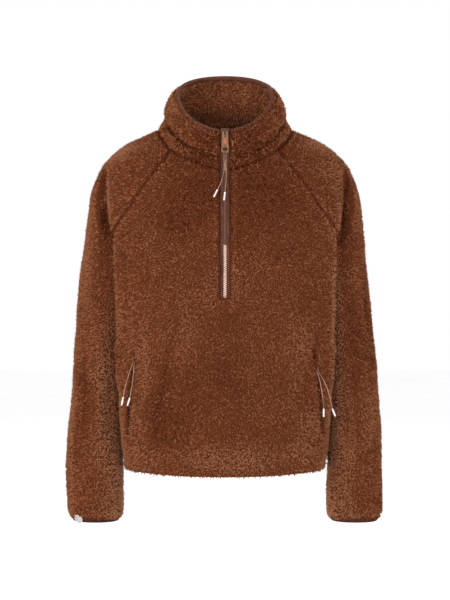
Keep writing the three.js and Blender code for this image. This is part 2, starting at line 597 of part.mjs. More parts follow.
const CHAIN_TOP_Z = SLIDER_Z + 0.5;
const ZIP_START_Z = ZIP_BOTTOM_Z + 0.6;
const RIM_Z = zip.at(-1).at.z;
const tapeEdges = [CHAIN_HALF + 0.35, SLOT_HALF - 0.7];
place('zip_tape_left', zipStrip(ZIP_START_Z, RIM_Z, -tapeEdges[1], -tapeEdges[0], TAPE_DEPTH, TAPE_THICK), TAPE);
place('zip_tape_right', zipStrip(ZIP_START_Z, RIM_Z, tapeEdges[0], tapeEdges[1], TAPE_DEPTH, TAPE_THICK), TAPE);
const chainStart = ZIP_START_Z + STOP_HEIGHT + 0.3;
place('zip_teeth', zipStrip(chainStart, CHAIN_TOP_Z, -CHAIN_HALF, CHAIN_HALF, CHAIN_DEPTH, CHAIN_THICK), TEETH);
place('zip_stop', zipStrip(ZIP_START_Z, ZIP_START_Z + STOP_HEIGHT, -CHAIN_HALF, CHAIN_HALF, CHAIN_DEPTH - 0.4,
  CHAIN_THICK + 0.4), BRASS);

// ---------- slider and pull tab ----------
const wasm = await Module();
wasm.setup();
function solidOf(geometry) {
  const bare = geometry.clone();
  for (const name of ['normal', 'uv']) bare.deleteAttribute(name);
  const merged = mergeVertices(bare, 1e-4);
  return new wasm.Manifold(new wasm.Mesh({
    numProp: 3,
    vertProperties: new Float32Array(merged.attributes.position.array),
    triVerts: new Uint32Array(merged.index.array),
  }));
}
function geometryOf(solid) {
  const mesh = solid.getMesh();
  return compact([...mesh.vertProperties], [...mesh.triVerts]);
}
const box = (wide, deep, high, x, y, z) => new THREE.BoxGeometry(wide, deep, high).translate(x, y, z);

const SLIDER = { wide: 9.6, high: 12, plate: 1.4, clear: 0.4 };
const HINGE = { y: -4.5, z: 3.2, ringInner: 1.6, ringOuter: 2.95, ringWide: 2.4, bar: 1.1 };
const TAB = { top: 9.4, bottom: 12.4, thick: 1.8, ear: 2.2, length: 37, windowTop: 27.6,
  windowBottom: 33.4, windowHalf: 3.7, eyeBottom: 4.2, hole: 6.9, holeRadius: 1.45 };
const seat = zipAt(SLIDER_Z);
const sliderGroup = new THREE.Group();
sliderGroup.position.copy(seat.at).addScaledVector(seat.out, -CHAIN_DEPTH);
sliderGroup.rotation.x = Math.atan2(-seat.out.z, -seat.out.y);
garment.add(sliderGroup);

function circlePath(radius, x, y, sides) {
  const path = new THREE.Path();
  for (let k = 0; k <= sides; k += 1) {
    const angle = (2 * Math.PI * k) / sides;
    const point = [x + radius * Math.cos(angle), y + radius * Math.sin(angle)];
    if (k) path.lineTo(...point);
    else path.moveTo(...point);
  }
  return path;
}
function sliderSolid() {
  const { wide, high, plate, clear } = SLIDER;
  const backFace = CHAIN_THICK + clear;
  const ring = new THREE.Shape(circlePath(HINGE.ringOuter, 0, 0, 20).getPoints());
  ring.holes.push(circlePath(HINGE.ringInner, 0, 0, 20));
  const ringSolid = new THREE.ExtrudeGeometry(ring, { depth: HINGE.ringWide, bevelEnabled: false });
  ringSolid.translate(0, 0, -HINGE.ringWide / 2).rotateY(Math.PI / 2).translate(0, HINGE.y, HINGE.z);
  const pieces = [
    box(wide, plate, high, 0, -clear - plate / 2, 0),
    box(wide, plate, high, 0, backFace + plate / 2, 0),
    box(2.2, backFace + clear + 1, 3.6, 0, (backFace - clear) / 2, high / 2 - 2.2),
    ringSolid,
  ];
  return geometryOf(pieces.map(solidOf).reduce((sum, piece) => sum.add(piece)));
}
place('slider', sliderSolid(), BRASS, sliderGroup);

function tabSolid() {
  const { top, bottom, thick, ear, length, windowTop, windowBottom, windowHalf, eyeBottom } = TAB;
  const corner = 2;
  const outline = new THREE.Shape();
  outline.moveTo(-top / 2, ear);
  outline.lineTo(-bottom / 2, -length + corner);
  outline.lineTo(-bottom / 2 + corner, -length);
  outline.lineTo(bottom / 2 - corner, -length);
  outline.lineTo(bottom / 2, -length + corner);
  outline.lineTo(top / 2, ear);
  const plate = new THREE.ExtrudeGeometry(outline, { depth: thick, bevelEnabled: false });
  plate.translate(0, 0, -thick / 2).rotateX(Math.PI / 2);
  const slotHalf = HINGE.ringWide / 2 + 0.5;
  const eye = box(2 * slotHalf, 4, ear + 1 + eyeBottom, 0, 0, (ear + 1 - eyeBottom) / 2);
  const hole = new THREE.CylinderGeometry(TAB.holeRadius, TAB.holeRadius, 4, 20).translate(0, 0, -TAB.hole);
  const window = box(2 * windowHalf, 4, windowBottom - windowTop, 0, 0, -(windowTop + windowBottom) / 2);
  const bar = new THREE.CylinderGeometry(HINGE.bar, HINGE.bar, top - 0.6, 16).rotateZ(Math.PI / 2);
  const openings = [eye, window, hole].map(solidOf);
  return geometryOf(openings.reduce((solid, opening) => solid.subtract(opening), solidOf(plate)).add(solidOf(bar)));
}
const tabGroup = new THREE.Group();
sliderGroup.updateWorldMatrix(true, false);
const hinge = sliderGroup.localToWorld(V(0, HINGE.y, HINGE.z));
const TAB_CLEAR = 0.4 + TAB.thick / 2 - CHAIN_DEPTH;     // the tab rests on the chain
const overCollar = zip.filter((f) => f.at.z < hinge.z - 6 && f.at.z > hinge.z - TAB.length)
  .map((f) => Math.atan2(hinge.y - (f.at.y - TAB_CLEAR), hinge.z - f.at.z));
const overSlider = Math.atan2(seat.out.z, -seat.out.y)
  - Math.atan2(-HINGE.y - SLIDER.clear - SLIDER.plate - TAB.thick / 2 - 0.4, HINGE.z + SLIDER.high / 2);
const tabAngle = Math.max(...overCollar, overSlider);
tabGroup.position.copy(hinge);
tabGroup.rotation.x = -tabAngle;
garment.add(tabGroup);
place('pull_tab', tabSolid(), BRASS, tabGroup);

// ---------- pull cords ----------
function tube(points, diameter, steps) {
  const sides = 8;
  const section = new THREE.Shape(circlePath(diameter / 2, 0, 0, sides).getPoints().slice(0, sides));
  const path = new THREE.CatmullRomCurve3(points.map((p) => V(...p)));
  return new THREE.ExtrudeGeometry(section, { steps, extrudePath: path, bevelEnabled: false });
}
function tipSolid(from, to) {
  const [start, end] = [V(...from), V(...to)];
  const run = end.clone().sub(start).normalize();
  const tip = new THREE.CylinderGeometry(TIP_DIAMETER / 2, TIP_DIAMETER / 2, TIP_LENGTH, 12);
  tip.applyQuaternion(new THREE.Quaternion().setFromUnitVectors(V(0, 1, 0), run));
  const middle = start.addScaledVector(run, SEAM_GAP + TIP_LENGTH / 2);
  return tip.translate(middle.x, middle.y, middle.z);
}
function cordWithTip(name, points, toward) {
  place(name, tube(points, CORD_DIAMETER, 2 * points.length), CORD);
  place(`${name}_tip`, tipSolid(points.at(-1), toward), TIP);
}


// The strands hang below the bar at the foot of the tab and then lie on the chest.
tabGroup.updateWorldMatrix(true, false);
const barCentre = tabGroup.localToWorld(V(0, 0, -(TAB.windowBottom + TAB.length) / 2));
const STRAND_DROP = 2.3;      // from the middle of the bar to the top of the strands
const underBar = (x, drop) => [x, barCentre.y, barCentre.z - drop];
const strandStart = (x) => [underBar(x, STRAND_DROP), underBar(x, STRAND_DROP + 8)];
cordWithTip('pull_cord_a', [...strandStart(-1.8), [-1.3, -115, -77], [-3.4, -117.4, -92], [-7.2, -121, -105],
  [-12, -124, -115]], [-18, -126.5, -127]);
cordWithTip('pull_cord_b', [...strandStart(1.8), [1.3, -115, -77], [2.2, -117.3, -92], [1.2, -121.2, -106],
  [0, -125, -119]], [-1.6, -128, -133]);

// ---------- pocket zips ----------
// The chain shows in a slit beside each side seam. Both its long edges follow the slit.
const POCKET_CHAIN = { edge: 0.15, depth: 0.6, thick: 2.2, end: 0.36 };
function pocketFrame(column, z) {
  const rows = front.outer;
  let i = pocketRows[0];
  while (i < pocketRows[1] - 1 && rows[i + 1][column].z < z) i += 1;
  const s = (z - rows[i][column].z) / (rows[i + 1][column].z - rows[i][column].z);
  const [a, b] = [column, column + 1].map((j) => rows[i][j].clone().lerp(rows[i + 1][j], s));
  const run = rows[i + 1][column].clone().sub(rows[i][column]).normalize();
  const wide = b.clone().sub(a);
  return { a, wide, run, out: run.clone().cross(wide).normalize().negate() };
}
function pocketChain(column) {
  const { edge, depth, thick, end } = POCKET_CHAIN;
  const inner = LOWER_BODY.slice(pocketRows[0] + 1, pocketRows[1]);
  const stations = [POCKET_BOTTOM_Z + end, ...inner, POCKET_TOP_Z - end];
  return solidThrough(stations.map((z) => {
    const { a, wide, out } = pocketFrame(column, z);
    const corners = [[edge, 0], [1 - edge, 0], [1 - edge, thick], [edge, thick]];
    return corners.map(([w, d]) => a.clone().addScaledVector(wide, w).addScaledVector(out, -depth - d));
  }));
}
const POCKET_SLIDER = { wide: 3.4, high: 8, thick: 2.4, depth: 0.28 };
function pocketSlider(column, z) {
  const { wide, high, thick, depth } = POCKET_SLIDER;
  const frame = pocketFrame(column, z);
  const across = frame.wide.clone().normalize();
  const centre = frame.a.clone().addScaledVector(frame.wide, 0.5).addScaledVector(frame.out, thick / 2 - depth);
  const turn = new THREE.Matrix4().makeBasis(across, frame.out.clone().negate(), across.clone().cross(frame.out).negate());
  const geometry = box(wide, thick, high, 0, 0, 0).applyMatrix4(turn);
  return geometry.translate(centre.x, centre.y, centre.z);
}
const [leftPocket, rightPocket] = pocketColumns;
place('pocket_zip_left', pocketChain(leftPocket), TEETH);
place('pocket_zip_right', pocketChain(rightPocket), TEETH);
place('pocket_slider_left', pocketSlider(leftPocket, -392), BRASS);
place('pocket_slider_right', pocketSlider(rightPocket, -408), BRASS);
cordWithTip('pocket_cord_left_a', [[-150.8, -92.5, -396.5], [-155.3, -94.6, -409], [-159.6, -93.2, -423], [-164, -91, -438],
  [-167, -89, -453]], [-170, -88, -468]);
cordWithTip('pocket_cord_left_b', [[-148.7, -94, -396.5], [-149.6, -97.2, -411], [-151.3, -95.8, -428], [-153.9, -93.8, -443],
  [-156, -92, -454]], [-161, -90.5, -470]);
cordWithTip('pocket_cord_right_a', [[151.2, -91.8, -412.5], [154.8, -94.2, -424], [157.8, -93, -438], [160.4, -91, -455],
  [162, -89, -472]], [162, -88, -489]);
cordWithTip('pocket_cord_right_b', [[153.3, -90.3, -412.5], [159.8, -91.8, -422], [165.6, -90.8, -434], [170.4, -89.8, -447],
  [173.8, -88.8, -460], [176, -88, -472]], [182, -86, -487]);

// ---------- cuff label ----------
const LABEL_Z = [-661, -673];
const LABEL_SPAN = [4.55, 5, 5.7];       // places along the cuff's ring of points
const LABEL_GAP = 0.45;
const LABEL_THICK = 1;
function labelSolid() {
  const [ring, normals] = [sleeves[0].outer[0], sleeves[0].normals[0]];
  return solidThrough(LABEL_SPAN.map((place) => {
    const k = Math.floor(place);
    const at = ring[k].clone().lerp(ring[k + 1], place - k);
    const out = normals[k].clone().lerp(normals[k + 1], place - k).setZ(0).normalize();
    const corners = [[LABEL_GAP, LABEL_Z[0]], [LABEL_GAP, LABEL_Z[1]], [LABEL_GAP + LABEL_THICK, LABEL_Z[1]],
      [LABEL_GAP + LABEL_THICK, LABEL_Z[0]]];
    return corners.map(([d, z]) => at.clone().setZ(z).addScaledVector(out, d));
  }));
}
place('cuff_label', labelSolid(), LABEL);

export default garment;
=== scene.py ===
"""Half-zip pile-fleece pullover, filled out with no wearer. Metres, +Z up, -Y to the front."""

import json
import math

import bmesh
import bpy
import numpy as np
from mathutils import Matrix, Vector
from mathutils.kdtree import KDTree


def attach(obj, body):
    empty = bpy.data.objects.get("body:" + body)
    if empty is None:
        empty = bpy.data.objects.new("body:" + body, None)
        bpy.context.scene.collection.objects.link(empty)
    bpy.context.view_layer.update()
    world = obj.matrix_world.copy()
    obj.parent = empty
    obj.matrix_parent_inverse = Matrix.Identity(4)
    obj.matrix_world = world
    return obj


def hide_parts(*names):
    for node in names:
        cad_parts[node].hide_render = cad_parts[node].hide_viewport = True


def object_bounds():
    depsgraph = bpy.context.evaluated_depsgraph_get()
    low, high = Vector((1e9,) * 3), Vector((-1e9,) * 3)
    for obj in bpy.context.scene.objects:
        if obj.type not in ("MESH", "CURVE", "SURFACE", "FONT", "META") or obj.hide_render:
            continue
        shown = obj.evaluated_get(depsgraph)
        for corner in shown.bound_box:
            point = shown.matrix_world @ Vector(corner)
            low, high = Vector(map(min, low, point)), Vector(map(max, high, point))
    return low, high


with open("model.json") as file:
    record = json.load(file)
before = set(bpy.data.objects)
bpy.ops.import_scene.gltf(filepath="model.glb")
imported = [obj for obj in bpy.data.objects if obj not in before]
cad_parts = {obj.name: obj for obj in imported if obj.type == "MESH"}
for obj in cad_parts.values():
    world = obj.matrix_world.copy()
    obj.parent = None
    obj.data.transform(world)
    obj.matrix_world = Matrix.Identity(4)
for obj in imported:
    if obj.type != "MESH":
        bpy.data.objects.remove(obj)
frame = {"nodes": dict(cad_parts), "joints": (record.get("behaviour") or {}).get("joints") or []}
CAD_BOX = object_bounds()
NODES = frame["nodes"]
MM = 0.001
rng = np.random.default_rng(11)
scene = bpy.context.scene


def link(obj):
    scene.collection.objects.link(obj)
    return obj


# ---------- camera ----------
VIEW_HEIGHT = 1.020       # what the frame's long side spans at the garment's middle
VIEW_DISTANCE = 2.6
VIEW_CENTRE = Vector((0, 0, -0.294))
SENSOR = 36

camera_data = bpy.data.cameras.new("camera")
camera_data.sensor_width = SENSOR
camera_data.lens = SENSOR * VIEW_DISTANCE / VIEW_HEIGHT
camera = link(bpy.data.objects.new("camera", camera_data))
camera.location = VIEW_CENTRE - Vector((0, VIEW_DISTANCE, 0))
camera.rotation_euler = (math.pi / 2, 0, 0)
scene.camera = camera


# ---------- materials ----------
def srgb(r, g, b):
    def linear(c):
        c /= 255
        return c / 12.92 if c <= 0.04045 else ((c + 0.055) / 1.055) ** 2.4
    return (linear(r), linear(g), linear(b), 1)


class Shader:
    """A Principled material built node by node."""

    def __init__(self, name, roughness=0.6, metallic=0.0, specular=0.5):
        self.material = bpy.data.materials.new(name)
        self.material.use_nodes = True
        self.tree = self.material.node_tree
        self.bsdf = self.tree.nodes["Principled BSDF"]
        self.bsdf.inputs["Roughness"].default_value = roughness
        self.bsdf.inputs["Metallic"].default_value = metallic
        self.bsdf.inputs["Specular IOR Level"].default_value = specular

    def node(self, kind, **values):
        made = self.tree.nodes.new(kind)
        for key, value in values.items():
            if key in made.inputs:
                made.inputs[key].default_value = value
            else:
                setattr(made, key, value)
        return made

    def join(self, output, target):
        self.tree.links.new(output, target)

    def coords(self):
        return self.node("ShaderNodeTexCoord").outputs["Object"]

    def noise(self, scale, detail=4.0, stretch=(1, 1, 1)):
        mapping = self.node("ShaderNodeMapping", Scale=stretch)
        self.join(self.coords(), mapping.inputs["Vector"])
        made = self.node("ShaderNodeTexNoise", Scale=scale, Detail=detail)
        self.join(mapping.outputs["Vector"], made.inputs["Vector"])
        return made.outputs["Fac"]

    def waves(self, scale, direction):
        made = self.node("ShaderNodeTexWave", Scale=scale)
        made.bands_direction = direction
        self.join(self.coords(), made.inputs["Vector"])
        return made.outputs["Fac"]

    def ramp(self, factor, stops, target="Base Color"):
        made = self.node("ShaderNodeValToRGB")
        elements = made.color_ramp.elements
        while len(elements) < len(stops):
            elements.new(0.5)
        for element, (position, colour) in zip(elements, stops):
            element.position = position
            element.color = colour
        self.join(factor, made.inputs["Fac"])
        if target:
            self.join(made.outputs["Color"], self.bsdf.inputs[target])
        return made.outputs["Color"]

    def add(self, a, b, operation="ADD"):
        made = self.node("ShaderNodeMath", operation=operation)
        for k, value in enumerate((a, b)):
            if isinstance(value, (int, float)):
                made.inputs[k].default_value = value
            else:
                self.join(value, made.inputs[k])
        return made.outputs["Value"]

    def mix(self, factor, a, b, target="Base Color"):
        made = self.node("ShaderNodeMixRGB")
        self.join(factor, made.inputs["Fac"])
        self.join(a, made.inputs["Color1"])
        self.join(b, made.inputs["Color2"])
        if target:
            self.join(made.outputs["Color"], self.bsdf.inputs[target])
        return made.outputs["Color"]

    def bump(self, height, distance, strength=1.0):
        made = self.node("ShaderNodeBump", Strength=strength, Distance=distance)
        self.join(height, made.inputs["Height"])
        self.join(made.outputs["Normal"], self.bsdf.inputs["Normal"])


def grey(value):
    return (value, value, value, 1)


WAVE_LENGTHS = 3.1        # a wave texture has about this many waves for each unit of its scale


def knit_material(name, dark, light, pitch=0.9 * MM, roughness=0.85):
    shader = Shader(name, roughness, specular=0.2)
    across, down = (shader.waves(0.5 / pitch / WAVE_LENGTHS, direction) for direction in "XZ")
    weave = shader.add(across, down)
    shade = shader.add(shader.noise(60), shader.add(weave, 0.12, "MULTIPLY"))
    shader.ramp(shade, [(0.35, srgb(*dark)), (0.75, srgb(*light))])
    shader.bump(weave, 0.2 * MM, 0.6)
    return shader.material


def metal_material(name, dark, light, roughness=0.34, metallic=0.85):
    shader = Shader(name, roughness, metallic=metallic)
    brushed = shader.noise(900, 2, (1, 1, 0.06))
    worn = shader.noise(240, 5)
    shader.ramp(shader.add(shader.add(brushed, 0.5, "MULTIPLY"), shader.add(worn, 0.5, "MULTIPLY")),
                [(0.3, srgb(*dark)), (0.7, srgb(*light))])
    shader.ramp(worn, [(0.3, grey(roughness - 0.06)), (0.7, grey(roughness + 0.14))], "Roughness")
    shader.bump(brushed, 0.03 * MM, 0.4)
    return shader.material


# the pile's darkest, middle and lightest colours, for its coolest and its warmest strands
PILE_COOL = ((50, 18, 4), (117, 63, 36), (162, 112, 83))
PILE_WARM = ((58, 21, 5), (129, 69, 38), (174, 119, 86))


def pile_material():
    """Strands carry their own shade, from 0 for the darkest to 1 for the lightest, with painted light and
    shade mixed in, and their warmth.
    """
    shader = Shader("pile", 1.0, specular=0.03)
    shade = shader.node("ShaderNodeAttribute", attribute_name="shade").outputs["Fac"]
    warmth = shader.node("ShaderNodeAttribute", attribute_name="warmth").outputs["Fac"]
    places = (0.0, 0.5, 1.0)
    cool, warm = (shader.ramp(shade, [(at, srgb(*rgb)) for at, rgb in zip(places, colours)], None)
                  for colours in (PILE_COOL, PILE_WARM))
    shader.mix(warmth, cool, warm)
    return shader.material


def ground_material():
    """The knitted ground that the pile grows from."""
    shader = Shader("fleece_ground", 1.0, specular=0.05)
    mottled = shader.noise(420, 6)
    # the ground is kept as dark as the strands' roots, as painted shade down between the tufts
    shader.ramp(mottled, [(0.3, srgb(66, 29, 14)), (0.7, srgb(104, 57, 35))])
    shader.bump(mottled, 1.2 * MM, 0.8)
    return shader.material


PILE = pile_material()
GROUND = ground_material()
BINDING = knit_material("binding_knit", (60, 30, 19), (98, 56, 38))
CUFF_BINDING = knit_material("cuff_binding_knit", (34, 15, 12), (68, 34, 27))
TAPE = knit_material("tape_weave", (54, 29, 21), (94, 56, 42), 0.7 * MM)
LABEL = knit_material("label_weave", (120, 112, 108), (196, 188, 184), 0.5 * MM)
CORD = knit_material("cord_braid", (112, 78, 60), (172, 134, 112), 0.6 * MM, 0.7)
BRASS = metal_material("antique_brass", (104, 70, 48), (176, 130, 98))
# dark brass: painted shade for the slider behind the pull tab, also used for the slider's crown
DARK_BRASS = metal_material("dark_brass", (52, 34, 25), (104, 74, 54), 0.4)
POCKET_BRASS = metal_material("pocket_brass", (70, 40, 26), (116, 74, 50), 0.6, 0.3)
COPPER = metal_material("copper_inlay", (150, 84, 52), (206, 138, 98), 0.3)
TEETH = metal_material("rose_teeth", (176, 134, 116), (248, 214, 200), 0.3, 0.5)
# a darker copy of the teeth's metal: painted shade on the front chain's upper part
SHADED_TEETH = metal_material("teeth_painted_shade", (92, 56, 42), (148, 102, 82), 0.45, 0.6)
# the cord tips' metal, near white: its base colour is raised as a painted highlight of its shine
TIP_METAL_HIGHLIT = metal_material("tip_metal_painted_highlight", (214, 190, 184), (250, 240, 238), 0.3, 0.35)
# the pocket chains are painted dark, as the shade down in their slits
SHADED_POCKET_TEETH = metal_material("pocket_teeth_painted_shade", (48, 22, 13), (74, 38, 24), 0.8, 0.05)


# ---------- mesh helpers ----------
def mesh_object(name, verts, faces, material, smooth=True):
    mesh = bpy.data.meshes.new(name)
    mesh.from_pydata([tuple(v) for v in verts], [], faces)
    mesh.materials.append(material)
    mesh.polygons.foreach_set("use_smooth", [smooth] * len(mesh.polygons))
    return link(bpy.data.objects.new(name, mesh))


def round_over(obj, width, segments):
    bevel = obj.modifiers.new("round_over", "BEVEL")
    bevel.width = width
    bevel.segments = segments
    return bevel


SHARP = math.radians(55)
RIM_STEP = 3 * MM


def cad_copy(node, name, material, levels, crease=0.8):
    """A smooth copy of a faceted CAD solid, and points along the rims that stay crisp."""
    mesh = NODES[node].data.copy()
    mesh.name = name
    mesh.materials.clear()
    mesh.materials.append(material)
    work = bmesh.new()
    work.from_mesh(mesh)
    bmesh.ops.remove_doubles(work, verts=work.verts, dist=0.01 * MM)
    bmesh.ops.join_triangles(work, faces=work.faces, angle_face_threshold=math.radians(50),
                             angle_shape_threshold=math.radians(60))
    creases = work.edges.layers.float.new("crease_edge")
    rims = []
    for edge in work.edges:
        if edge.calc_face_angle(0) > SHARP:
            edge[creases] = crease
            a, b = (v.co for v in edge.verts)
            steps = max(1, round((b - a).length / RIM_STEP))
            rims += [a.lerp(b, (k + 0.5) / steps) for k in range(steps)]
    work.to_mesh(mesh)
    work.free()
    obj = link(bpy.data.objects.new(name, mesh))
    smooth = obj.modifiers.new("smooth", "SUBSURF")
    smooth.levels = smooth.render_levels = levels
    done = bpy.data.meshes.new_from_object(obj.evaluated_get(bpy.context.evaluated_depsgraph_get()))
    obj.modifiers.clear()
    obj.data = done
    done.name = name
    done.polygons.foreach_set("use_smooth", [True] * len(done.polygons))
    return obj, rims


def points_of(mesh):
    flat = np.empty(3 * len(mesh.vertices))
    mesh.vertices.foreach_get("co", flat)
    return flat.reshape(-1, 3)


def set_points(mesh, points):
    mesh.vertices.foreach_set("co", points.ravel())
    mesh.update()


def normals_of(mesh):
    flat = np.empty(3 * len(mesh.vertices))
    mesh.vertices.foreach_get("normal", flat)
    return flat.reshape(-1, 3)


def unit(vectors):
    return vectors / np.maximum(np.linalg.norm(vectors, axis=-1, keepdims=True), 1e-12)


def value_noise(points, scale, seed):
    """Smooth noise from 0 to 1 with features about scale across."""
    cell = points / scale
    base = np.floor(cell).astype(np.int64)
    part = cell - base
    part = part * part * (3 - 2 * part)
    total = np.zeros(len(points))
    for corner in range(8):
        step = np.array([corner & 1, corner >> 1 & 1, corner >> 2 & 1])
        at = base + step
        key = (at[:, 0] * 73856093) ^ (at[:, 1] * 19349663) ^ (at[:, 2] * 83492791) ^ (seed * 2654435761)
        key = (key ^ (key >> 13)) * 1274126177
        value = ((key ^ (key >> 16)) & 0xFFFF) / 0xFFFF
        total += value * np.prod(np.where(step, part, 1 - part), axis=1)
    return total


# ---------- cords ----------
def spline_through(points, step):
    """Centripetal Catmull-Rom points through the route's points."""
    route = [Vector(p) for p in points]
    route = [2 * route[0] - route[1], *route, 2 * route[-1] - route[-2]]
    line = []
    for a, b, c, d in zip(route, route[1:], route[2:], route[3:]):
        knots = [0]
        for p, q in ((a, b), (b, c), (c, d)):
            knots.append(knots[-1] + (q - p).length ** 0.5)
        count = max(2, round((c - b).length / step))
        for k in range(count):
            t = knots[1] + (knots[2] - knots[1]) * k / count
            def blend(p, q, i, j):
                span = knots[j] - knots[i]
                return p * ((knots[j] - t) / span) + q * ((t - knots[i]) / span)
            ab, bc, cd = blend(a, b, 0, 1), blend(b, c, 1, 2), blend(c, d, 2, 3)
            line.append(blend(blend(ab, bc, 0, 2), blend(bc, cd, 1, 3), 1, 2))
    return line + [route[-2]]


def rings_along(name, line, radius_at, sides, material):
    """A closed tube along line. radius_at(distance, angle) is its radius there."""
    verts, faces = [], []
    out = Vector((0, -1, 0))
    travelled = 0
    for k, p in enumerate(line):
        run = (line[min(k + 1, len(line) - 1)] - line[max(k - 1, 0)]).normalized()
        out = (out - run * out.dot(run)).normalized()
        wide = run.cross(out)
        travelled += (p - line[k - 1]).length if k else 0
        for s in range(sides):
            angle = 2 * math.pi * s / sides
            verts.append(p + (out * math.cos(angle) + wide * math.sin(angle)) * radius_at(travelled, angle))
    for k in range(len(line) - 1):
        for s in range(sides):
            a, b = k * sides + s, k * sides + (s + 1) % sides
            faces.append((a, b, b + sides, a + sides))
    faces.append(tuple(range(sides))[::-1])
    faces.append(tuple(range((len(line) - 1) * sides, len(line) * sides)))
    return mesh_object(name, verts, faces, material)


CORD_DIAMETER = 1.7 * MM
ROUTE_STEP = 0.55 * MM
TIP_DIAMETER = 3.2 * MM
TIP_LENGTH = 14 * MM
TIP_GAP = 0.36 * MM
PLAIT_SHARE = 0.80        # the plait's mean radius as a share of the cord's widest
PLAIT_RIPPLE = 0.07       # how far its strands stand up and dip, as a share of the same
PLAIT = 2.6 * MM          # length of one turn of the plait


def joint_at(name):
    return next(j for j in frame["joints"] if j["name"] == name)["pos_m"]


# The strands hang below the bar at the foot of the pull tab.
BAR = joint_at("pull_cord_swing")
BAR_MM = [1000 * v for v in BAR]
STRAND_DROP = 2.3


def under_bar(x):
    return [(x, BAR_MM[1], BAR_MM[2] - STRAND_DROP), (x, BAR_MM[1], BAR_MM[2] - STRAND_DROP - 8)]


# name, body, route and the point that the tip looks toward, all in millimetres
CORD_ROUTES = [
    ("pull_cord_a", "cords", [*under_bar(-1.8), (-1.3, -115, -77), (-3.4, -117.4, -92), (-7.2, -121, -105),
                              (-12, -124, -115)], (-18, -126.5, -127)),
    ("pull_cord_b", "cords", [*under_bar(1.8), (1.3, -115, -77), (2.2, -117.3, -92), (1.2, -121.2, -106),
                              (0, -125, -119)], (-1.6, -128, -133)),
    ("pocket_cord_left_a", "garment", [(-150.8, -92.5, -396.5), (-155.3, -94.6, -409), (-159.6, -93.2, -423),
                                       (-164, -91, -438), (-167, -89, -453)], (-170, -88, -468)),
    ("pocket_cord_left_b", "garment", [(-148.7, -94, -396.5), (-149.6, -97.2, -411), (-151.3, -95.8, -428),
                                       (-153.9, -93.8, -443), (-156, -92, -454)], (-161, -90.5, -470)),
    ("pocket_cord_right_a", "garment", [(151.2, -91.8, -412.5), (154.8, -94.2, -424), (157.8, -93, -438),
                                        (160.4, -91, -455), (162, -89, -472)], (162, -88, -489)),
    ("pocket_cord_right_b", "garment", [(153.3, -90.3, -412.5), (159.8, -91.8, -422), (165.6, -90.8, -434),
                                        (170.4, -89.8, -447), (173.8, -88.8, -460), (176, -88, -472)],
     (182, -86, -487)),
]


def cord_tip(name, start, toward):
    """A pressed metal tip: rounded ends, a rolled rim and a shallow waist where it is crimped."""
    run = (toward - start).normalized()
    profile = [(0, 0.36), (0.02, 0.47), (0.06, 0.5), (0.12, 0.5), (0.15, 0.43), (0.28, 0.42), (0.31, 0.49),
               (0.9, 0.47), (0.96, 0.4), (1.0, 0.24)]
    line = [start + run * (TIP_GAP + share * TIP_LENGTH) for share, _ in profile]
    radii = {round((share - profile[0][0]) * TIP_LENGTH, 6): r * TIP_DIAMETER for share, r in profile}

    def radius(distance, _):
        return radii[min(radii, key=lambda at: abs(at - distance))]
    return rings_along(name, line, radius, 16, TIP_METAL_HIGHLIT)


for name, body, route, toward in CORD_ROUTES:
    line = spline_through([[v * MM for v in p] for p in route], ROUTE_STEP)
    length = sum((b - a).length for a, b in zip(line, line[1:]))

    def plaited(distance, angle):
        turn = 2 * math.pi * distance / PLAIT
        ripple = PLAIT_RIPPLE * math.sin(3 * angle + turn) * math.sin(3 * angle - turn)
        return CORD_DIAMETER / 2 * (PLAIT_SHARE + ripple)
    cord = rings_along(f"{name}_plait", line, plaited, 12, CORD)
    tip = cord_tip(f"{name}_end", line[-1], Vector(toward) * MM)
    for piece, node, kind in ((cord, name, "cord"), (tip, f"{name}_tip", "tip")):
        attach(piece, body)
        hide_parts(node)


def knot_line():
    """A wrap of cord round both strands."""
    line = []
    steps = round(KNOT_TURNS * KNOT_STEPS)
    for k in range(steps + 1):
        share = k / steps
        angle = 2 * math.pi * KNOT_TURNS * share
        swell = 1 - KNOT_PINCH + KNOT_PINCH * math.sin(math.pi * share)
        line.append(Vector((KNOT_WIDE * swell * math.cos(angle), KNOT_DEEP * swell * math.sin(angle),
                            KNOT_HIGH * (0.5 - share))) * MM + Vector(KNOT_CENTRE) * MM)
    return line


KNOT_CENTRE = (0, -115.9, -82)
KNOT_WIDE, KNOT_DEEP, KNOT_HIGH = 2.9, 1.7, 5
KNOT_TURNS, KNOT_STEPS = 2.5, 20      # the steps are for each turn
KNOT_PINCH = 0.25         # how much narrower it is at its two ends
KNOT_CORD = 1.0 * MM
knot = rings_along("pull_cord_knot", knot_line(), lambda distance, angle: KNOT_CORD / 2, 8, CORD)
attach(knot, "cords")

# the copper-coloured panel let into each face of the pull tab
HINGE = Vector(joint_at("pull_tab_swing"))
TAB_RUN = (Vector(BAR) - HINGE).normalized()
TAB_WIDE = Vector((1, 0, 0))
TAB_OUT = TAB_WIDE.cross(TAB_RUN).normalized()
INLAY_FROM, INLAY_TO = 10.7 * MM, 22.1 * MM
INLAY_WIDE = 6.2 * MM
INLAY_DEPTH, INLAY_EDGE = 2.1 * MM, 0.2 * MM
corners = [HINGE + TAB_RUN * run + TAB_WIDE * wide * INLAY_WIDE / 2 + TAB_OUT * out * INLAY_DEPTH / 2
           for run in (INLAY_FROM, INLAY_TO) for wide in (-1, 1) for out in (-1, 1)]
BOX_FACES = [(0, 1, 3, 2), (4, 6, 7, 5), (0, 4, 5, 1), (2, 3, 7, 6), (0, 2, 6, 4), (1, 5, 7, 3)]
inlay = mesh_object("pull_tab_inlay", corners, BOX_FACES, COPPER, smooth=False)
round_over(inlay, INLAY_EDGE, 2)
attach(inlay, "tab")


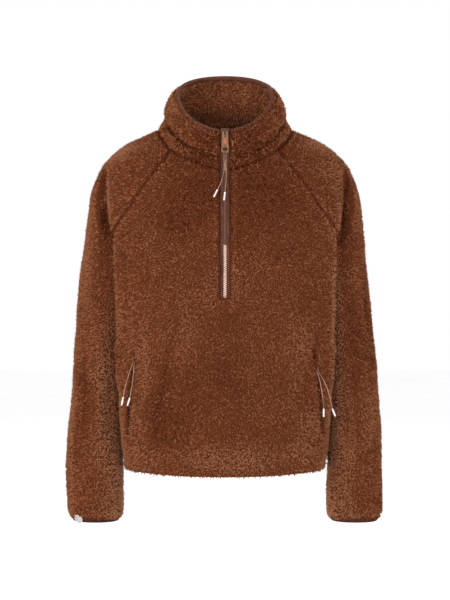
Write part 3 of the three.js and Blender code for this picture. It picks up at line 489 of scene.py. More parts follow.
# ---------- folds ----------
# Each row: the piece, the run of the fold as seen from the front (x, z), its half width, how far it
# stands out (or in), all in millimetres. side is the way the folded cloth faces, 1 for the back.
FOLDS = [
    ("front", [(-134, -300), (-131, -400), (-126, -480)], 9, 3.0, -1),
    ("front", [(-76, -318), (-104, -440), (-122, -535)], 8, -3.4, -1),
    ("front", [(-52, -330), (-80, -450), (-96, -545)], 11, 2.4, -1),
    ("front", [(126, -342), (118, -395), (113, -450)], 11, 2.8, -1),
    ("front", [(150, -352), (144, -404)], 6, -3.0, -1),
    ("front", [(24, -420), (22, -455)], 12, -2.0, -1),
    ("front", [(-30, -180), (-28, -215)], 11, -2.2, -1),
    ("front", [(-151, -385), (-155, -430), (-160, -480), (-163, -526)], 5.5, -3.4, -1),
    ("front", [(154, -405), (158, -440), (162, -490), (166, -530)], 5.5, -3.2, -1),
    ("front", [(-126, -196), (-96, -214), (-70, -222)], 9, -2.0, -1),
    ("front", [(128, -200), (100, -222), (76, -236)], 9, -2.0, -1),
    ("back", [(-70, -300), (-90, -420), (-95, -520)], 12, 3.0, 1),
    ("back", [(60, -320), (84, -430), (100, -530)], 10, -3.0, 1),
    ("back", [(-20, -240), (-26, -360)], 12, -2.2, 1),
    ("sleeve_left", [(-240, -370), (-244, -450), (-248, -540), (-248, -600), (-244, -660)], 2.4, -3.0, -1),
    ("sleeve_left", [(-201, -66), (-194, -111), (-190, -150), (-188, -185)], 4, 2.4, -1),
    ("sleeve_left", [(-208, -95), (-202, -140), (-198, -190), (-196, -230)], 5, -3.0, -1),
    ("sleeve_left", [(-208, -330), (-214, -450), (-212, -560)], 9, 3.0, -1),
    ("sleeve_left", [(-234, -380), (-236, -520)], 6, -2.4, -1),
    ("sleeve_left", [(-194, -390), (-196, -520)], 6, -2.6, -1),
    ("sleeve_left", [(-210, -300), (-218, -460)], 9, -2.6, 1),
    ("sleeve_right", [(193, -80), (191, -120), (188, -160), (187, -190)], 4, 2.4, -1),
    ("sleeve_right", [(204, -100), (199, -150), (196, -205), (195, -235)], 5, -3.0, -1),
    ("sleeve_right", [(216, -220), (219, -300)], 8, 3.0, -1),
    ("sleeve_right", [(234, -260), (238, -350)], 6, -2.6, -1),
    ("sleeve_right", [(200, -420), (206, -560)], 8, -2.4, -1),
    ("sleeve_right", [(212, -300), (216, -460)], 9, -2.6, 1),
    ("collar", [(-108, 10), (-96, -6), (-76, -30), (-58, -44), (-38, -54), (-14, -60)], 5, -4.6, -1),
    ("collar", [(-100, 24), (-84, 2), (-62, -20), (-38, -38), (-12, -48)], 8, 2.6, -1),
    ("collar", [(108, 10), (95, -10), (80, -28), (62, -43), (40, -54), (16, -60)], 5, -4.0, -1),
    ("collar", [(100, 20), (82, -4), (60, -24), (36, -40)], 8, 2.2, -1),
]
FOLD_FACING = 2.5         # a fold dies out where the cloth turns to the side, more slowly the larger this is
WRINKLE, WRINKLE_SIZE = 2.0 * MM, 34 * MM      # the small unevenness of all the cloth
# The cloth swells beside a seam and dips into it, but not near an open edge or the collar.
SEAM_SWELL = 1.8 * MM
SWELL_AT, SWELL_WIDTH = 14 * MM, 9 * MM
DIP_SHARE, DIP_WIDTH = 0.9, 7 * MM
BODY_END, SLEEVE_END, COLLAR_START = -560 * MM, -665 * MM, -45 * MM
SEAM_FADE = 20 * MM
STILL_BELOW, STILL_FADE = -660 * MM, 12 * MM   # nothing moves at the very ends of the sleeves
HEM_SAG = 5 * MM
HEM_SAG_FROM, HEM_SAG_OVER, HEM_SAG_HALF = -520 * MM, 58 * MM, 150 * MM
CUFF_OVERLAP = 1 * MM
CUFF_OVERLAP_FROM, CUFF_OVERLAP_OVER = -652 * MM, 8 * MM


def distance_to(spots, points):
    """Each point's distance to the nearest of the spots."""
    tree = KDTree(len(spots))
    for k, spot in enumerate(spots):
        tree.insert(spot, k)
    tree.balance()
    return np.array([tree.find(p)[2] for p in points])


SLIT_STEP, SLIT_TUFTS = 0.5 * MM, 4    # tufts on each such step of a pocket's slit
SLIT_TURN = 0.5                # how much they face outwards for each unit that they face the front
SLIT_SCATTER = 1.1 * MM
SLIT_SINK = 1.5 * MM
SLIT_SHADE = 0.34               # the tufts over a pocket's slit are painted this much darker, as shade
SLIT_SHOWS_BELOW = -490 * MM   # the left pocket's slit shows between the pile below this height
POCKET_INNER, POCKET_BACK = 138 * MM, -50 * MM
POCKET_TOP, POCKET_FOOT = -365 * MM, -530 * MM
HEM_TOP, HEM_REACH = -576 * MM, 170 * MM
CORNER_BEHIND, CORNER_TOP = 40 * MM, -240 * MM


def seams_only(rims):
    """The rims without those that the pile hides: the pocket slots, the hem and the back's corners."""
    def hidden(r):
        pocket = abs(r[0]) > POCKET_INNER and POCKET_FOOT < r[2] < POCKET_TOP and r[1] < POCKET_BACK
        hem = abs(r[0]) < HEM_REACH and r[2] < HEM_TOP
        corner = r[1] > CORNER_BEHIND and r[2] < CORNER_TOP
        return pocket or hem or corner
    return [r for r in rims if not hidden(r)]


def distance_to_run(points, run):
    """Distance in the plane to a polyline, and how far along it from 0 to 1."""
    best = np.full(len(points), 1e9)
    share = np.zeros(len(points))
    for k, (a, b) in enumerate(zip(run, run[1:])):
        a, b = np.array(a, float), np.array(b, float)
        s = np.clip((points - a) @ (b - a) / ((b - a) @ (b - a)), 0, 1)
        d = np.linalg.norm(points - a - s[:, None] * (b - a), axis=1)
        nearer = d < best
        best = np.where(nearer, d, best)
        share = np.where(nearer, (k + s) / (len(run) - 1), share)
    return best, share


CUFF_MIDDLE, CUFF_HALF = 220 * MM, 45 * MM
CUFF_SPREAD_FROM, CUFF_SPREAD_OVER = -470 * MM, 100 * MM
CUFF_ROUND_FROM, CUFF_ROUND_OVER = -648 * MM, 24 * MM
CUFF_SPREAD = 4.5 * MM      # the left sleeve's outer edge hangs this much wider towards the cuff
CUFF_ROUND = 9 * MM         # each corner of a cuff is drawn in by this much at the very end


def shape_cuff(points):
    """The sleeves' ends are round at the corners, and the left one's outer edge hangs wide."""
    x, z = points[:, 0], points[:, 2]
    outer_left = np.clip((-x - CUFF_MIDDLE) / CUFF_HALF, 0, 1)
    outer_left *= np.clip((CUFF_SPREAD_FROM - z) / CUFF_SPREAD_OVER, 0, 1)
    from_middle = (np.abs(x) - CUFF_MIDDLE) / CUFF_HALF
    corner = np.clip((CUFF_ROUND_FROM - z) / CUFF_ROUND_OVER, 0, 1) ** 2 * np.sign(from_middle)
    corner *= np.clip(np.abs(from_middle), 0, 1) ** 2
    points[:, 0] -= CUFF_SPREAD * outer_left + CUFF_ROUND * corner * np.sign(x)


def eased_ends(share, start):
    """From little at each end of a run, where start is how far in it begins, to 1 at its middle."""
    return np.sin(np.pi * np.clip(start + (1 - 2 * start) * share, 0, 1))


def fold(obj, node, outward, rims):
    """Moves the cloth of a panel into its folds, seams and wrinkles."""
    points = points_of(obj.data)
    seen = points[:, [0, 2]] / MM
    moved = np.zeros(len(points))
    for name, run, width, height, side in FOLDS:
        if name != node:
            continue
        away, share = distance_to_run(seen, run)
        facing = np.clip(outward[:, 1] * side * FOLD_FACING, 0, 1)
        moved += height * MM * np.exp(-(away / width) ** 2) * eased_ends(share, 0.12) * facing
    moved += WRINKLE * (value_noise(points, WRINKLE_SIZE, 3) - 0.5)
    height = points[:, 2].copy()
    if node != "collar":
        away = distance_to(rims, points)
        open_edge = BODY_END if node in ("front", "back") else SLEEVE_END
        sewn = np.clip((height - open_edge) / SEAM_FADE, 0, 1)
        sewn *= np.clip((COLLAR_START - height) / SEAM_FADE, 0, 1)
        swell = np.exp(-((away - SWELL_AT) / SWELL_WIDTH) ** 2)
        moved += SEAM_SWELL * sewn * (swell - DIP_SHARE * np.exp(-(away / DIP_WIDTH) ** 2))
    points += outward * (moved * np.clip((height - STILL_BELOW) / STILL_FADE, 0, 1))[:, None]
    if node in ("sleeve_left", "sleeve_right"):
        points[:, 2] -= CUFF_OVERLAP * np.clip((CUFF_OVERLAP_FROM - height) / CUFF_OVERLAP_OVER, 0, 1)
        shape_cuff(points)
    if node in ("front", "back"):
        low = np.clip((HEM_SAG_FROM - points[:, 2]) / HEM_SAG_OVER, 0, 1) ** 2
        points[:, 2] -= HEM_SAG * low * np.clip(1 - (points[:, 0] / HEM_SAG_HALF) ** 2, -0.4, 1)
    set_points(obj.data, points)


def chain_line(node):
    """The middle line of a zip chain's plain strip, from the bottom up."""
    corners = {tuple(round(c, 6) for c in v.co) for v in NODES[node].data.vertices}
    ordered = sorted(corners, key=lambda p: p[2])
    return [sum((Vector(p) for p in ordered[k:k + 4]), Vector()) / 4 for k in range(0, len(ordered) - 3, 4)]


def resample(line, step):
    """Spots along a line, step apart, and the line's direction at each."""
    spots, left = [], 0.0
    for a, b in zip(line, line[1:]):
        size = (b - a).length
        while left < size:
            spots.append((a.lerp(b, left / size), (b - a).normalized()))
            left += step
        left -= size
    return spots


# ---------- pile ----------
PILE_LENGTH, PILE_WIDTH = 5.0 * MM, 2.1 * MM
PILE_ROOT_DEPTH = 0.5 * MM
LENGTH_FLOOR, LENGTH_CLUMP, LENGTH_SCATTER = 0.50, 0.65, 0.25     # shares of PILE_LENGTH
WIDTH_FLOOR, WIDTH_SCATTER = 0.4, 0.25                            # shares of PILE_WIDTH
RISE_FLOOR, RISE_SCATTER, TIP_LEAN = 0.58, 0.3, 0.50              # where a tip is, as shares of its length
DROOP = 0.45              # how much the pile leans down more than any other way
SWIRL_SIZE, SWIRL, SWIRL_SCATTER = 9 * MM, 1.3, 0.5               # how far its lean turns, in turns
CLUMP = 2.2 * MM          # how wide the clumps of pile are
PATCH_WIDE, PATCH_SMALL, PATCH_SHARE = 42 * MM, 18 * MM, 0.75
WARM_PATCH, WARM_SHARE, WARM_LIMIT = 30 * MM, 0.65, 0.96
SEAM_REACH = 4.6 * MM     # how far from a seam the pile is sewn down
SEWN_LENGTH = 0.5         # its length at the seam itself, as a share of the rest
SEAM_EDGE = 2.2           # the painted highlight beside it ends at this many times as far
# tones, from 0 for the darkest to 1 for the lightest
TONE_FLOOR, PATCH_TONE = 0.485, 0.26
CLUMP_TONE, STRAND_TONE = 0.44, 0.42
# painted shade in the seams, softer at the collar's foot, and a painted highlight beside them
SEAM_SHADE, FOOT_SHADE, SEAM_HIGHLIGHT = 0.60, 0.16, 0.14
FOOT_HALF_WIDTH, FOOT_BELOW = 82 * MM, -94 * MM       # the front of the seam at the collar's foot
# the neck's inside, in the shade, is given lighter pile as painted light, more of it lower down
NECK_TONE, NECK_PAINTED_LIGHT, NECK_LIFT_FROM, NECK_LIFT_OVER = 0.10, 0.45, 30 * MM, 60 * MM
# a zone's grain is stronger where its painted shade is dark, and weaker where its painted light is bright,
# between these tones
ZONE_LIVELY, ZONE_DARK, ZONE_LIGHT = 1.6, -0.5, 0.25
# the painted shade of a crease and painted highlight of a ridge for each millimetre of its height, and its
# width as a share of the fold's
CREASE_SHADE, RIDGE_HIGHLIGHT, TONE_WIDTH, TONE_FACING = 0.08, 0.045, 0.6, 3
# the pile on the sleeves' inner sides is painted lighter, as painted light against the shade between sleeve
# and body, from this height down
BODY_SIDE_PAINTED_LIGHT, BODY_SIDE_CURVE = 0.62, 0.7
BODY_SIDE_TOP, BODY_SIDE_FADE = -230 * MM, 110 * MM
SHADED_ROOT_TONES = (0.74, 0.72, 0.76, 1.07)               # of a strand's three roots and its tip; the roots are painted darker, as the shade down among the tufts
CORNER_WARMTH = (0, 0.02, 0.04, 0.02)
# how a strand's normals mix the cloth's normal with the way out of the strand, or its lean at the tip
ROOT_NORMAL, TIP_NORMAL = (0.85, 0.65), (0.9, 0.5)
OUTER_FACING, INNER_FACING = 0.12, -0.3
NECK_PILE_ABOVE = -60 * MM
ZONE_TONE = 1.5
ZONE_SIDE = 0.6           # the share of its tone that a zone has where the cloth faces sideways
# painted light and shade: the middle of each zone (x, z), its half width and half height in millimetres, and
# its tone
PAINTED_LIGHT_ZONES = [
    (0, -95, 95, 105, -0.30), (-10, -35, 24, 16, -0.12), (-75, -165, 30, 25, -0.14),
    (-24, -185, 14, 35, 0.12), (-122, -205, 18, 22, 0.12), (-180, -44, 36, 20, 0.26),
    (150, -36, 26, 14, 0.30), (185, -75, 34, 25, 0.14), (-236, -210, 16, 90, 0.14),
    (-207, -230, 14, 90, -0.12), (-57, -345, 22, 35, 0.12), (-130, -375, 22, 50, 0.14),
    (-5, -415, 55, 60, -0.10), (-95, -490, 34, 60, -0.26), (-150, -480, 16, 60, 0.10),
    (128, -375, 40, 45, 0.12), (150, -505, 40, 50, 0.14), (0, -553, 170, 18, 0.16),
    (-216, -400, 14, 90, 0.13), (-188, -540, 14, 80, 0.24), (-257, -530, 6, 130, 0.18),
    (184, -340, 11, 130, 0.30), (212, -380, 15, 110, -0.21), (250, -360, 16, 80, -0.14),
    (242, -490, 16, 55, 0.22), (-204, -441, 12, 45, 0.12), (-176, -570, 10, 55, 0.20),
    (187, -278, 10, 35, 0.14), (187, -470, 12, 45, 0.18), (15, -565, 60, 14, 0.08),
    (-228, -452, 14, 55, -0.14), (-205, -604, 14, 30, -0.12), (187, -604, 12, 30, -0.10),
    (80, -130, 60, 55, -0.09), (-78, 32, 13, 18, 0.22), (13, -103, 9, 30, 0.18),
    (-17, -98, 12, 25, 0.14), (-55, -84, 26, 10, 0.16), (-60, -140, 45, 50, -0.05),
    (6, -318, 16, 26, -0.12), (201, -150, 9, 75, -0.22), (-204, -160, 8, 65, -0.20),
    (187, -140, 4, 60, 0.16), (-192, -130, 4, 55, 0.14),
]


def axis_of(node):
    """The middle line of the hollow that each panel wraps round."""
    side = -1 if "left" in node else 1
    if node.startswith("sleeve"):
        return [(side * 0.10, 0, -0.13), (side * 0.165, 0, -0.20), (side * 0.205, 0, -0.33),
                (side * 0.216, -0.002, -0.48), (side * 0.214, -0.004, -0.70)]
    if node == "collar":
        return [(0, -0.022, -0.12), (0, -0.022, 0.10)]
    return [(0, 0, -0.62), (0, 0, -0.17)]


def outward_of(points, node):
    """The direction at each point away from the panel's middle line."""
    line = [np.array(p) for p in axis_of(node)]
    best = np.full(len(points), 1e9)
    nearest = np.zeros_like(points)
    for a, b in zip(line, line[1:]):
        s = np.clip((points - a) @ (b - a) / ((b - a) @ (b - a)), 0, 1)
        at = a + s[:, None] * (b - a)
        d = np.linalg.norm(points - at, axis=1)
        closer = d < best
        best = np.where(closer, d, best)
        nearest[closer] = at[closer]
    return unit(points - nearest)


def triangles_of(mesh):
    mesh.calc_loop_triangles()
    flat = np.empty(3 * len(mesh.loop_triangles), dtype=np.int32)
    mesh.loop_triangles.foreach_get("vertices", flat)
    return flat.reshape(-1, 3)


def grow_pile(obj, name, node, keep, rims, tufts, contrast):
    """Tufts of pile over the faces for which keep(centres, normals, outward) is true."""
    points, normals = points_of(obj.data), normals_of(obj.data)
    tris = triangles_of(obj.data)
    corners = points[tris]
    crossed = np.cross(corners[:, 1] - corners[:, 0], corners[:, 2] - corners[:, 0])
    areas = np.linalg.norm(crossed, axis=1) / 2
    centres = corners.mean(axis=1)
    kept = keep(centres, unit(crossed), outward_of(centres, node))
    cumulative = np.cumsum(np.where(kept, areas, 0))
    count = tufts
    picks = np.searchsorted(cumulative, (np.arange(count) + rng.random(count)) * cumulative[-1] / count)
    picks = np.minimum(picks, len(tris) - 1)
    a, b = rng.random((2, count))
    flip = a + b > 1
    a, b = np.where(flip, 1 - a, a), np.where(flip, 1 - b, b)
    weights = np.stack([1 - a - b, a, b], axis=1)
    roots = (corners[picks] * weights[:, :, None]).sum(axis=1)
    up = unit((normals[tris[picks]] * weights[:, :, None]).sum(axis=1))
    if node == "front":
        for chain, side in (("pocket_zip_left", -1), ("pocket_zip_right", 1)):
            spots = np.array([at[:] for at, _ in resample(chain_line(chain), SLIT_STEP)])
            if side < 0:
                spots = spots[spots[:, 2] > SLIT_SHOWS_BELOW]
            spots = np.repeat(spots, SLIT_TUFTS, axis=0)
            spots = spots + rng.normal(0, SLIT_SCATTER, spots.shape)
            facing = np.tile(unit(np.array([[SLIT_TURN * side, -1.0, 0.0]])), (len(spots), 1))
            roots = np.concatenate([roots, spots - SLIT_SINK * facing])
            up = np.concatenate([up, facing])
    inward = (up * outward_of(roots, node)).sum(axis=1) < 0
    painted_light = painted_fold_light(roots, node, up)
    # the sleeves' sides that face the body get painted light against the shade there
    if node in ("sleeve_left", "sleeve_right"):
        painted_side_light = np.clip(-np.sign(roots[:, 0]) * up[:, 0], 0, 1) ** BODY_SIDE_CURVE
        painted_side_light *= np.clip((BODY_SIDE_TOP - roots[:, 2]) / BODY_SIDE_FADE, 0, 1)
        painted_light += BODY_SIDE_PAINTED_LIGHT * painted_side_light
    # the tufts over the pocket slits get painted shade
    painted_light[count:] -= SLIT_SHADE
    return strands(name, roots, up, distance_to(rims, roots), inward, painted_light, contrast)


def painted_zone_light(points, up):
    """The broad lighter and darker places on the front: painted light where light falls and painted shade
    where shade falls.
    """
    seen = points[:, [0, 2]] / MM
    total = np.zeros(len(points))
    for x, z, wide, high, amount in PAINTED_LIGHT_ZONES:
        total += amount * np.exp(-((seen[:, 0] - x) / wide) ** 2 - ((seen[:, 1] - z) / high) ** 2)
    return ZONE_TONE * total * np.clip(ZONE_SIDE - 2 * ZONE_SIDE * up[:, 1], 0, 1)


def painted_fold_light(points, node, up):
    """Painted shade in a crease and a painted highlight on a ridge."""
    seen = points[:, [0, 2]] / MM
    total = np.zeros(len(points))
    for name, run, width, height, side in FOLDS:
        if name == node:
            away, share = distance_to_run(seen, run)
            facing = np.clip(side * up[:, 1] * TONE_FACING, 0, 1)
            strength = CREASE_SHADE if height < 0 else RIDGE_HIGHLIGHT
            near = np.exp(-(away / (TONE_WIDTH * width)) ** 2)
            total += strength * height * near * eased_ends(share, 0.1) * facing
    return total


def strand_tones(roots, up, clump, free, from_seam, inward, painted_light, contrast):
    """The shade, with its painted light and shade, and the warmth of each strand's three roots and its tip.
    """
    count = len(roots)
    patch = PATCH_SHARE * value_noise(roots, PATCH_WIDE, 2)
    patch += (1 - PATCH_SHARE) * value_noise(roots, PATCH_SMALL, 4)
    neck_painted_light = NECK_PAINTED_LIGHT * np.clip((NECK_LIFT_FROM - roots[:, 2]) / NECK_LIFT_OVER, 0, 1)
    # painted shade where the pile is sewn down at a seam, softer at the collar's foot, and a painted
    # highlight on the band beside it
    at_foot = (np.abs(roots[:, 0]) < FOOT_HALF_WIDTH) & (roots[:, 2] > FOOT_BELOW)
    seam_highlight_band = (from_seam > SEAM_REACH) & (from_seam < SEAM_EDGE * SEAM_REACH)
    seam_shade = np.where(at_foot, FOOT_SHADE, SEAM_SHADE) * (1 - free) - SEAM_HIGHLIGHT * seam_highlight_band
    zone = painted_zone_light(roots, up) + painted_light
    lively = contrast * np.where(inward, 1, 1 - ZONE_LIVELY * np.clip(zone, ZONE_DARK, ZONE_LIGHT))
    grain = CLUMP_TONE * (clump - 0.5) + STRAND_TONE * (rng.random(count) - 0.5)
    tone = TONE_FLOOR + PATCH_TONE * patch + lively * grain
    # inside the neck the pile gets painted light; outside it gets the painted light and shade of the zones,
    # folds and seams
    tone += np.where(inward, NECK_TONE + neck_painted_light, zone - seam_shade)
    shade = np.clip(tone[:, None] * np.array(SHADED_ROOT_TONES), 0.01, 0.99)
    warmth = WARM_SHARE * value_noise(roots, WARM_PATCH, 7) + (1 - WARM_SHARE) * rng.random(count)
    return shade, np.clip(warmth, 0, WARM_LIMIT)[:, None] + np.array(CORNER_WARMTH)


def strands(name, roots, up, from_seam, inward, painted_light, contrast):
    """Each tuft is a curled three-sided spike that is rooted in the ground."""
    count = len(roots)
    spread = 1.0
    down = np.array([0, 0, -1.0])
    lie = unit(down - up * (up @ down)[:, None] + 1e-6)
    side = np.cross(up, lie)
    swirl = 2 * np.pi * (SWIRL * value_noise(roots, SWIRL_SIZE, 5) + SWIRL_SCATTER * rng.random(count))
    lean = unit(lie * (DROOP + np.cos(swirl))[:, None] + side * np.sin(swirl)[:, None])
    clump = value_noise(roots, CLUMP, 9)
    free = np.where(inward, 1, np.clip(from_seam / SEAM_REACH, 0, 1))
    length = PILE_LENGTH * (LENGTH_FLOOR + LENGTH_CLUMP * clump + LENGTH_SCATTER * rng.random(count))
    length *= SEWN_LENGTH + (1 - SEWN_LENGTH) * free
    radius = PILE_WIDTH * (WIDTH_FLOOR + WIDTH_SCATTER * rng.random(count)) * spread
    turn = 2 * np.pi * rng.random(count)
    across = np.cross(up, lean)
    radials = []
    for k in range(3):
        angle = (turn + 2 * np.pi * k / 3)[:, None]
        radials.append(lean * np.cos(angle) + across * np.sin(angle))
    base = roots - up * PILE_ROOT_DEPTH
    rise = length * (RISE_FLOOR + RISE_SCATTER * rng.random(count))
    tip = roots + up * rise[:, None] + lean * (TIP_LEAN * length)[:, None]
    verts = np.stack([*(base + r * radius[:, None] for r in radials), tip], axis=1).reshape(-1, 3)
    corners = np.array([0, 1, 3, 1, 2, 3, 2, 0, 3, 0, 2, 1])
    loops = (4 * np.arange(count)[:, None] + corners).ravel()
    mesh = bpy.data.meshes.new(name)
    mesh.vertices.add(len(verts))
    mesh.vertices.foreach_set("co", verts.ravel())
    mesh.loops.add(len(loops))
    mesh.loops.foreach_set("vertex_index", loops.astype(np.int32))
    mesh.polygons.add(len(loops) // 3)
    mesh.polygons.foreach_set("loop_start", np.arange(0, len(loops), 3, dtype=np.int32))
    mesh.update(calc_edges=True)
    mesh.polygons.foreach_set("use_smooth", np.ones(len(loops) // 3, dtype=bool))
    shade, warmth = strand_tones(roots, up, clump, free, from_seam, inward, painted_light, contrast)
    for label, values in (("shade", shade), ("warmth", warmth)):
        mesh.attributes.new(label, "FLOAT", "POINT").data.foreach_set("value", values.ravel())
    # the baking map has the shade across it and the warmth up it, as the material reads them
    uv = np.stack([shade, warmth], axis=2)[:, corners].ravel()
    mesh.uv_layers.new(name="OFBake").data.foreach_set("uv", uv)
    facing = [unit(ROOT_NORMAL[0] * up + ROOT_NORMAL[1] * r) for r in radials]
    facing.append(unit(TIP_NORMAL[0] * up + TIP_NORMAL[1] * lean))
    facing = np.stack(facing, axis=1).reshape(-1, 3)
    mesh.normals_split_custom_set_from_vertices(facing.tolist())
    mesh.materials.append(PILE)
    return link(bpy.data.objects.new(name, mesh))


def outer_only(centres, normals, outward):
    return (normals * outward).sum(axis=1) > OUTER_FACING


def shown_outside_and_neck(centres, normals, outward):
    facing = (normals * outward).sum(axis=1)
    return (facing > OUTER_FACING) | ((facing < INNER_FACING) & (centres[:, 2] > NECK_PILE_ABOVE))


# node, cut width and length of the flat piece, its flat area share, what it hangs from, tufts of pile,
# contrast between the clumps
PANELS = [
    ("front", 0.55, 0.60, 0.86, ["sleeve_left_fleece", "sleeve_right_fleece"], 46500, 1.1),
    ("back", 0.55, 0.62, 0.86, ["sleeve_left_fleece", "sleeve_right_fleece"], 44000, 1.1),
    ("sleeve_left", 0.42, 0.70, 0.78, ["collar_fleece"], 40000, 1.1),
    ("sleeve_right", 0.42, 0.70, 0.78, ["collar_fleece"], 40000, 1.1),
    ("collar", 0.56, 0.085, 0.95, ["front_fleece", "back_fleece"], 24000, 1.45),
]
for node, width, length, share, rests, tufts, contrast in PANELS:
    panel, rims = cad_copy(node, f"{node}_fleece", GROUND, 2)
    rims = seams_only(rims)
    fold(panel, node, outward_of(points_of(panel.data), node), rims)
    keep = shown_outside_and_neck if node in ("collar", "back") else outer_only
    pile = grow_pile(panel, f"{node}_pile", node, keep, rims, tufts, contrast)
    for piece in (panel, pile):
        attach(piece, "garment")
    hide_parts(node)


# ---------- bindings and label ----------
def crumple(label):
    """The label is creased and stands off the cuff's pile."""
    points = points_of(label.data)
    outward = outward_of(points, "sleeve_left")
    x, z = points[:, 0] / MM, points[:, 2] / MM
    crease = sum(share * np.sin(2 * np.pi * (x / across + z / along) + turn)
                 for share, across, along, turn in LABEL_CREASES)
    points += outward * (LABEL_STANDS_OFF + LABEL_CREASE * crease)[:, None]
    points[:, 0] += LABEL_SHIFT
    points[:, 2] += LABEL_RISE + LABEL_WAVE * np.sin(2 * np.pi * x / LABEL_WAVE_LENGTH)
    set_points(label.data, points)


def plump(binding):
    """The binding is rounder than its CAD solid, but for the collar's sides."""
    points = points_of(binding.data)
    at_the_side = np.clip(np.abs(points[:, 0:1]) / BINDING_HALF_WIDTH, 0, 1) ** 2
    points += (BINDING_PLUMP - BINDING_PINCH * at_the_side) * normals_of(binding.data)
    set_points(binding.data, points)


BINDING_PLUMP = 0.6 * MM
BINDING_PINCH = 0.7 * MM    # the binding is drawn tighter at the collar's sides
BINDING_HALF_WIDTH = 80 * MM
LABEL_STANDS_OFF = 4.6 * MM
LABEL_CREASE = 0.8 * MM
# the share of each set of creases, its wavelengths along x and z in millimetres, and its start
LABEL_CREASES = [(1, 8.5, 11, 0), (0.6, 5.2, -9, 1)]
LABEL_WAVE, LABEL_WAVE_LENGTH = 1.4 * MM, 9
LABEL_SHIFT = 5 * MM        # it has slid this far along the cuff
LABEL_RISE = 5 * MM

STRIP_CREASE = 0.3          # how crisp a strip's edges stay, from 0 for round to 1
# node, material, subdivision levels, cut width and length, what it is sewn to, its kind
STRIPS = [
    ("collar_binding", BINDING, 2, 0.012, 0.50, "collar_fleece", "binding"),
    ("cuff_left_binding", CUFF_BINDING, 2, 0.010, 0.21, "sleeve_left_fleece", "cuff_binding"),
    ("cuff_right_binding", CUFF_BINDING, 2, 0.010, 0.21, "sleeve_right_fleece", "cuff_binding"),
    ("cuff_label", LABEL, 4, 0.012, 0.016, "sleeve_left_fleece", "label"),
]
for node, material, levels, width, length, sewn_to, kind in STRIPS:
    strip, _ = cad_copy(node, f"{node}_strip", material, levels, STRIP_CREASE)
    if node != "collar_binding":
        points = points_of(strip.data)
        shape_cuff(points)
        set_points(strip.data, points)
    if node == "cuff_label":
        crumple(strip)
    elif node == "collar_binding":
        plump(strip)
    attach(strip, "garment")
    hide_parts(node)

# The binding's two ends turn down to meet over the slider's crown.
BINDING_TAIL = [(8.8, -90.4, -18.2), (6.4, -91.8, -18.0), (3.8, -93.2, -17.6), (1.8, -93.8, -17.4)]
BINDING_THICK, TAIL_STEP = 5.6 * MM, 0.8 * MM
for side, name in ((-1, "left"), (1, "right")):
    route = spline_through([(side * x * MM, y * MM, z * MM) for x, y, z in BINDING_TAIL], TAIL_STEP)
    tail = rings_along(f"collar_binding_tail_{name}", route, lambda distance, angle: BINDING_THICK / 2, 12,
                       BINDING)
    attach(tail, "garment")


# ---------- zips ----------
# the slider's crown, which stands over the pull tab's hinge
CROWN_HALF, CROWN_MIDDLE = Vector((6.4, 1.4, 3.0)) * MM, Vector((0, -95.6, -15.6)) * MM
CROWN_EDGE = 1.1 * MM
corners = [CROWN_MIDDLE + Vector((x * CROWN_HALF.x, y * CROWN_HALF.y, z * CROWN_HALF.z))
           for x in (-1, 1) for y in (-1, 1) for z in (-1, 1)]
crown = mesh_object("slider_crown", corners, BOX_FACES, DARK_BRASS, smooth=False)
round_over(crown, CROWN_EDGE, 3)
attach(crown, "garment")


TOOTH_PITCH, TOOTH_SHARE, TOOTH_EDGE = 1.55 * MM, 0.9, 0.14 * MM
TOOTH_PROFILE = ((-0.18, 0.34), (0.18, 0.46), (0.5, 0.5))     # how far out, and half its height there
SHADED_ABOVE = -205 * MM      # the front chain is bright below this height; above it the teeth take the darker copy, as painted shade under the cords and the pile


def teeth(name, node, wide, deep, across, material):
    """Interlocking teeth on both sides of the chain's middle line."""
    verts, faces = [], []
    for k, (at, run) in enumerate(resample(chain_line(node), TOOTH_PITCH)):
        side = 1 if k % 2 else -1
        sideways = (across - run * across.dot(run)).normalized()
        out = sideways.cross(run)
        for dx, half_high in TOOTH_PROFILE:
            for dz in (-1, 1):
                for dy in (-0.5, 0.5):
                    high = dz * half_high * TOOTH_PITCH * TOOTH_SHARE
                    verts.append(at + sideways * side * dx * 2 * wide + run * high + out * dy * deep)
        b = 12 * k
        for s in (0, 4):
            ring = [b + s, b + s + 1, b + s + 3, b + s + 2]
            upper = [v + 4 for v in ring]
            faces += [(ring[i], ring[(i + 1) % 4], upper[(i + 1) % 4], upper[i]) for i in range(4)]
        faces += [(b, b + 2, b + 3, b + 1), (b + 8, b + 9, b + 11, b + 10)]
    obj = mesh_object(name, verts, faces, material, smooth=False)
    work = bmesh.new()
    work.from_mesh(obj.data)
    bmesh.ops.recalc_face_normals(work, faces=work.faces)
    # teeth high on the front chain take the darker copy, as painted shade
    if material is TEETH:
        obj.data.materials.append(SHADED_TEETH)
        for face in work.faces:
            if face.calc_center_median().z > SHADED_ABOVE:
                face.material_index = 1
    work.to_mesh(obj.data)
    work.free()
    round_over(obj, TOOTH_EDGE, 1)
    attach(obj, "garment")
    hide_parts(node)


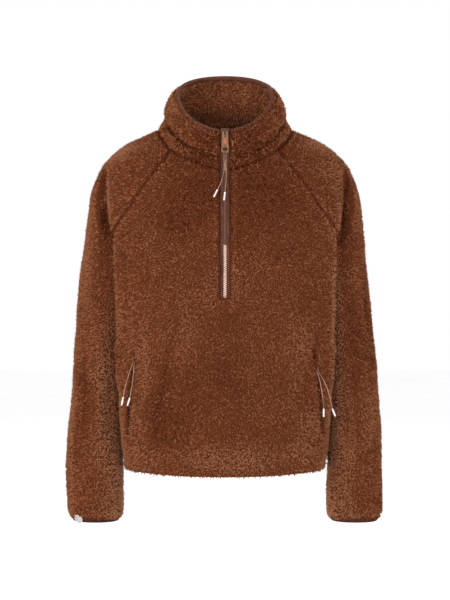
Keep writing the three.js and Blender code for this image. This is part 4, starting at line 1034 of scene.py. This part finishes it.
teeth("front_zip_chain", "zip_teeth", 2.7 * MM, 2.2 * MM, Vector((1, 0, 0)), TEETH)
teeth("pocket_chain_left", "pocket_zip_left", 1.1 * MM, 1.2 * MM, Vector((0.8, -0.6, 0)), SHADED_POCKET_TEETH)
teeth("pocket_chain_right", "pocket_zip_right", 1.1 * MM, 1.2 * MM, Vector((0.8, 0.6, 0)), SHADED_POCKET_TEETH)


def finish_node(node, material, edge=0.0):
    """A better material for a CAD node that stays, and its edges rounded over by edge."""
    obj = NODES[node]
    for place in obj.material_slots:
        place.material = material
    if edge:
        round_over(obj, edge, 3).limit_method = "ANGLE"


METAL_EDGE = 0.35 * MM
for node in ("zip_tape_left", "zip_tape_right"):
    finish_node(node, TAPE)
# the slider, seen behind the pull tab, gets the dark brass as painted shade
for node, metal in (("slider", DARK_BRASS), ("pull_tab", BRASS), ("zip_stop", BRASS),
                    ("pocket_slider_left", POCKET_BRASS), ("pocket_slider_right", POCKET_BRASS)):
    finish_node(node, metal, METAL_EDGE)

# ---------- studio ----------
FLOOR_DROP, FLOOR_HALF = 0.16, 9
floor_z = CAD_BOX[0][2] - FLOOR_DROP
paper = Shader("paper", 0.95)
paper.ramp(paper.noise(3, 2), [(0.3, srgb(251, 251, 251)), (0.7, srgb(253, 253, 253))])
floor_corners = [(x * FLOOR_HALF, y * FLOOR_HALF, floor_z) for x, y in ((-1, -1), (1, -1), (1, 1), (-1, 1))]
floor = mesh_object("floor", floor_corners, [(0, 1, 2, 3)], paper.material)

world = bpy.data.worlds.new("studio")
world.use_nodes = True
sky = world.node_tree.nodes["Background"]
sky.inputs["Color"].default_value = grey(1)
sky.inputs["Strength"].default_value = 1.0
scene.world = world


def soft_light(name, place, power, size):
    data = bpy.data.lights.new(name, "AREA")
    data.energy = power
    data.size = size
    lamp = link(bpy.data.objects.new(name, data))
    lamp.location = place
    lamp.rotation_euler = (VIEW_CENTRE - Vector(place)).to_track_quat("-Z", "Y").to_euler()


# each light's place, power and size
soft_light("key", (-1.9, -2.3, 0.2), 30, 1.2)
soft_light("fill", (2.4, -1.5, -0.3), 13, 1.6)
soft_light("front", (0.1, -2.6, -0.4), 9, 1.0)
soft_light("rim", (0.4, 2.2, 1.6), 22, 1.6)
scene.view_settings.view_transform = "Standard"
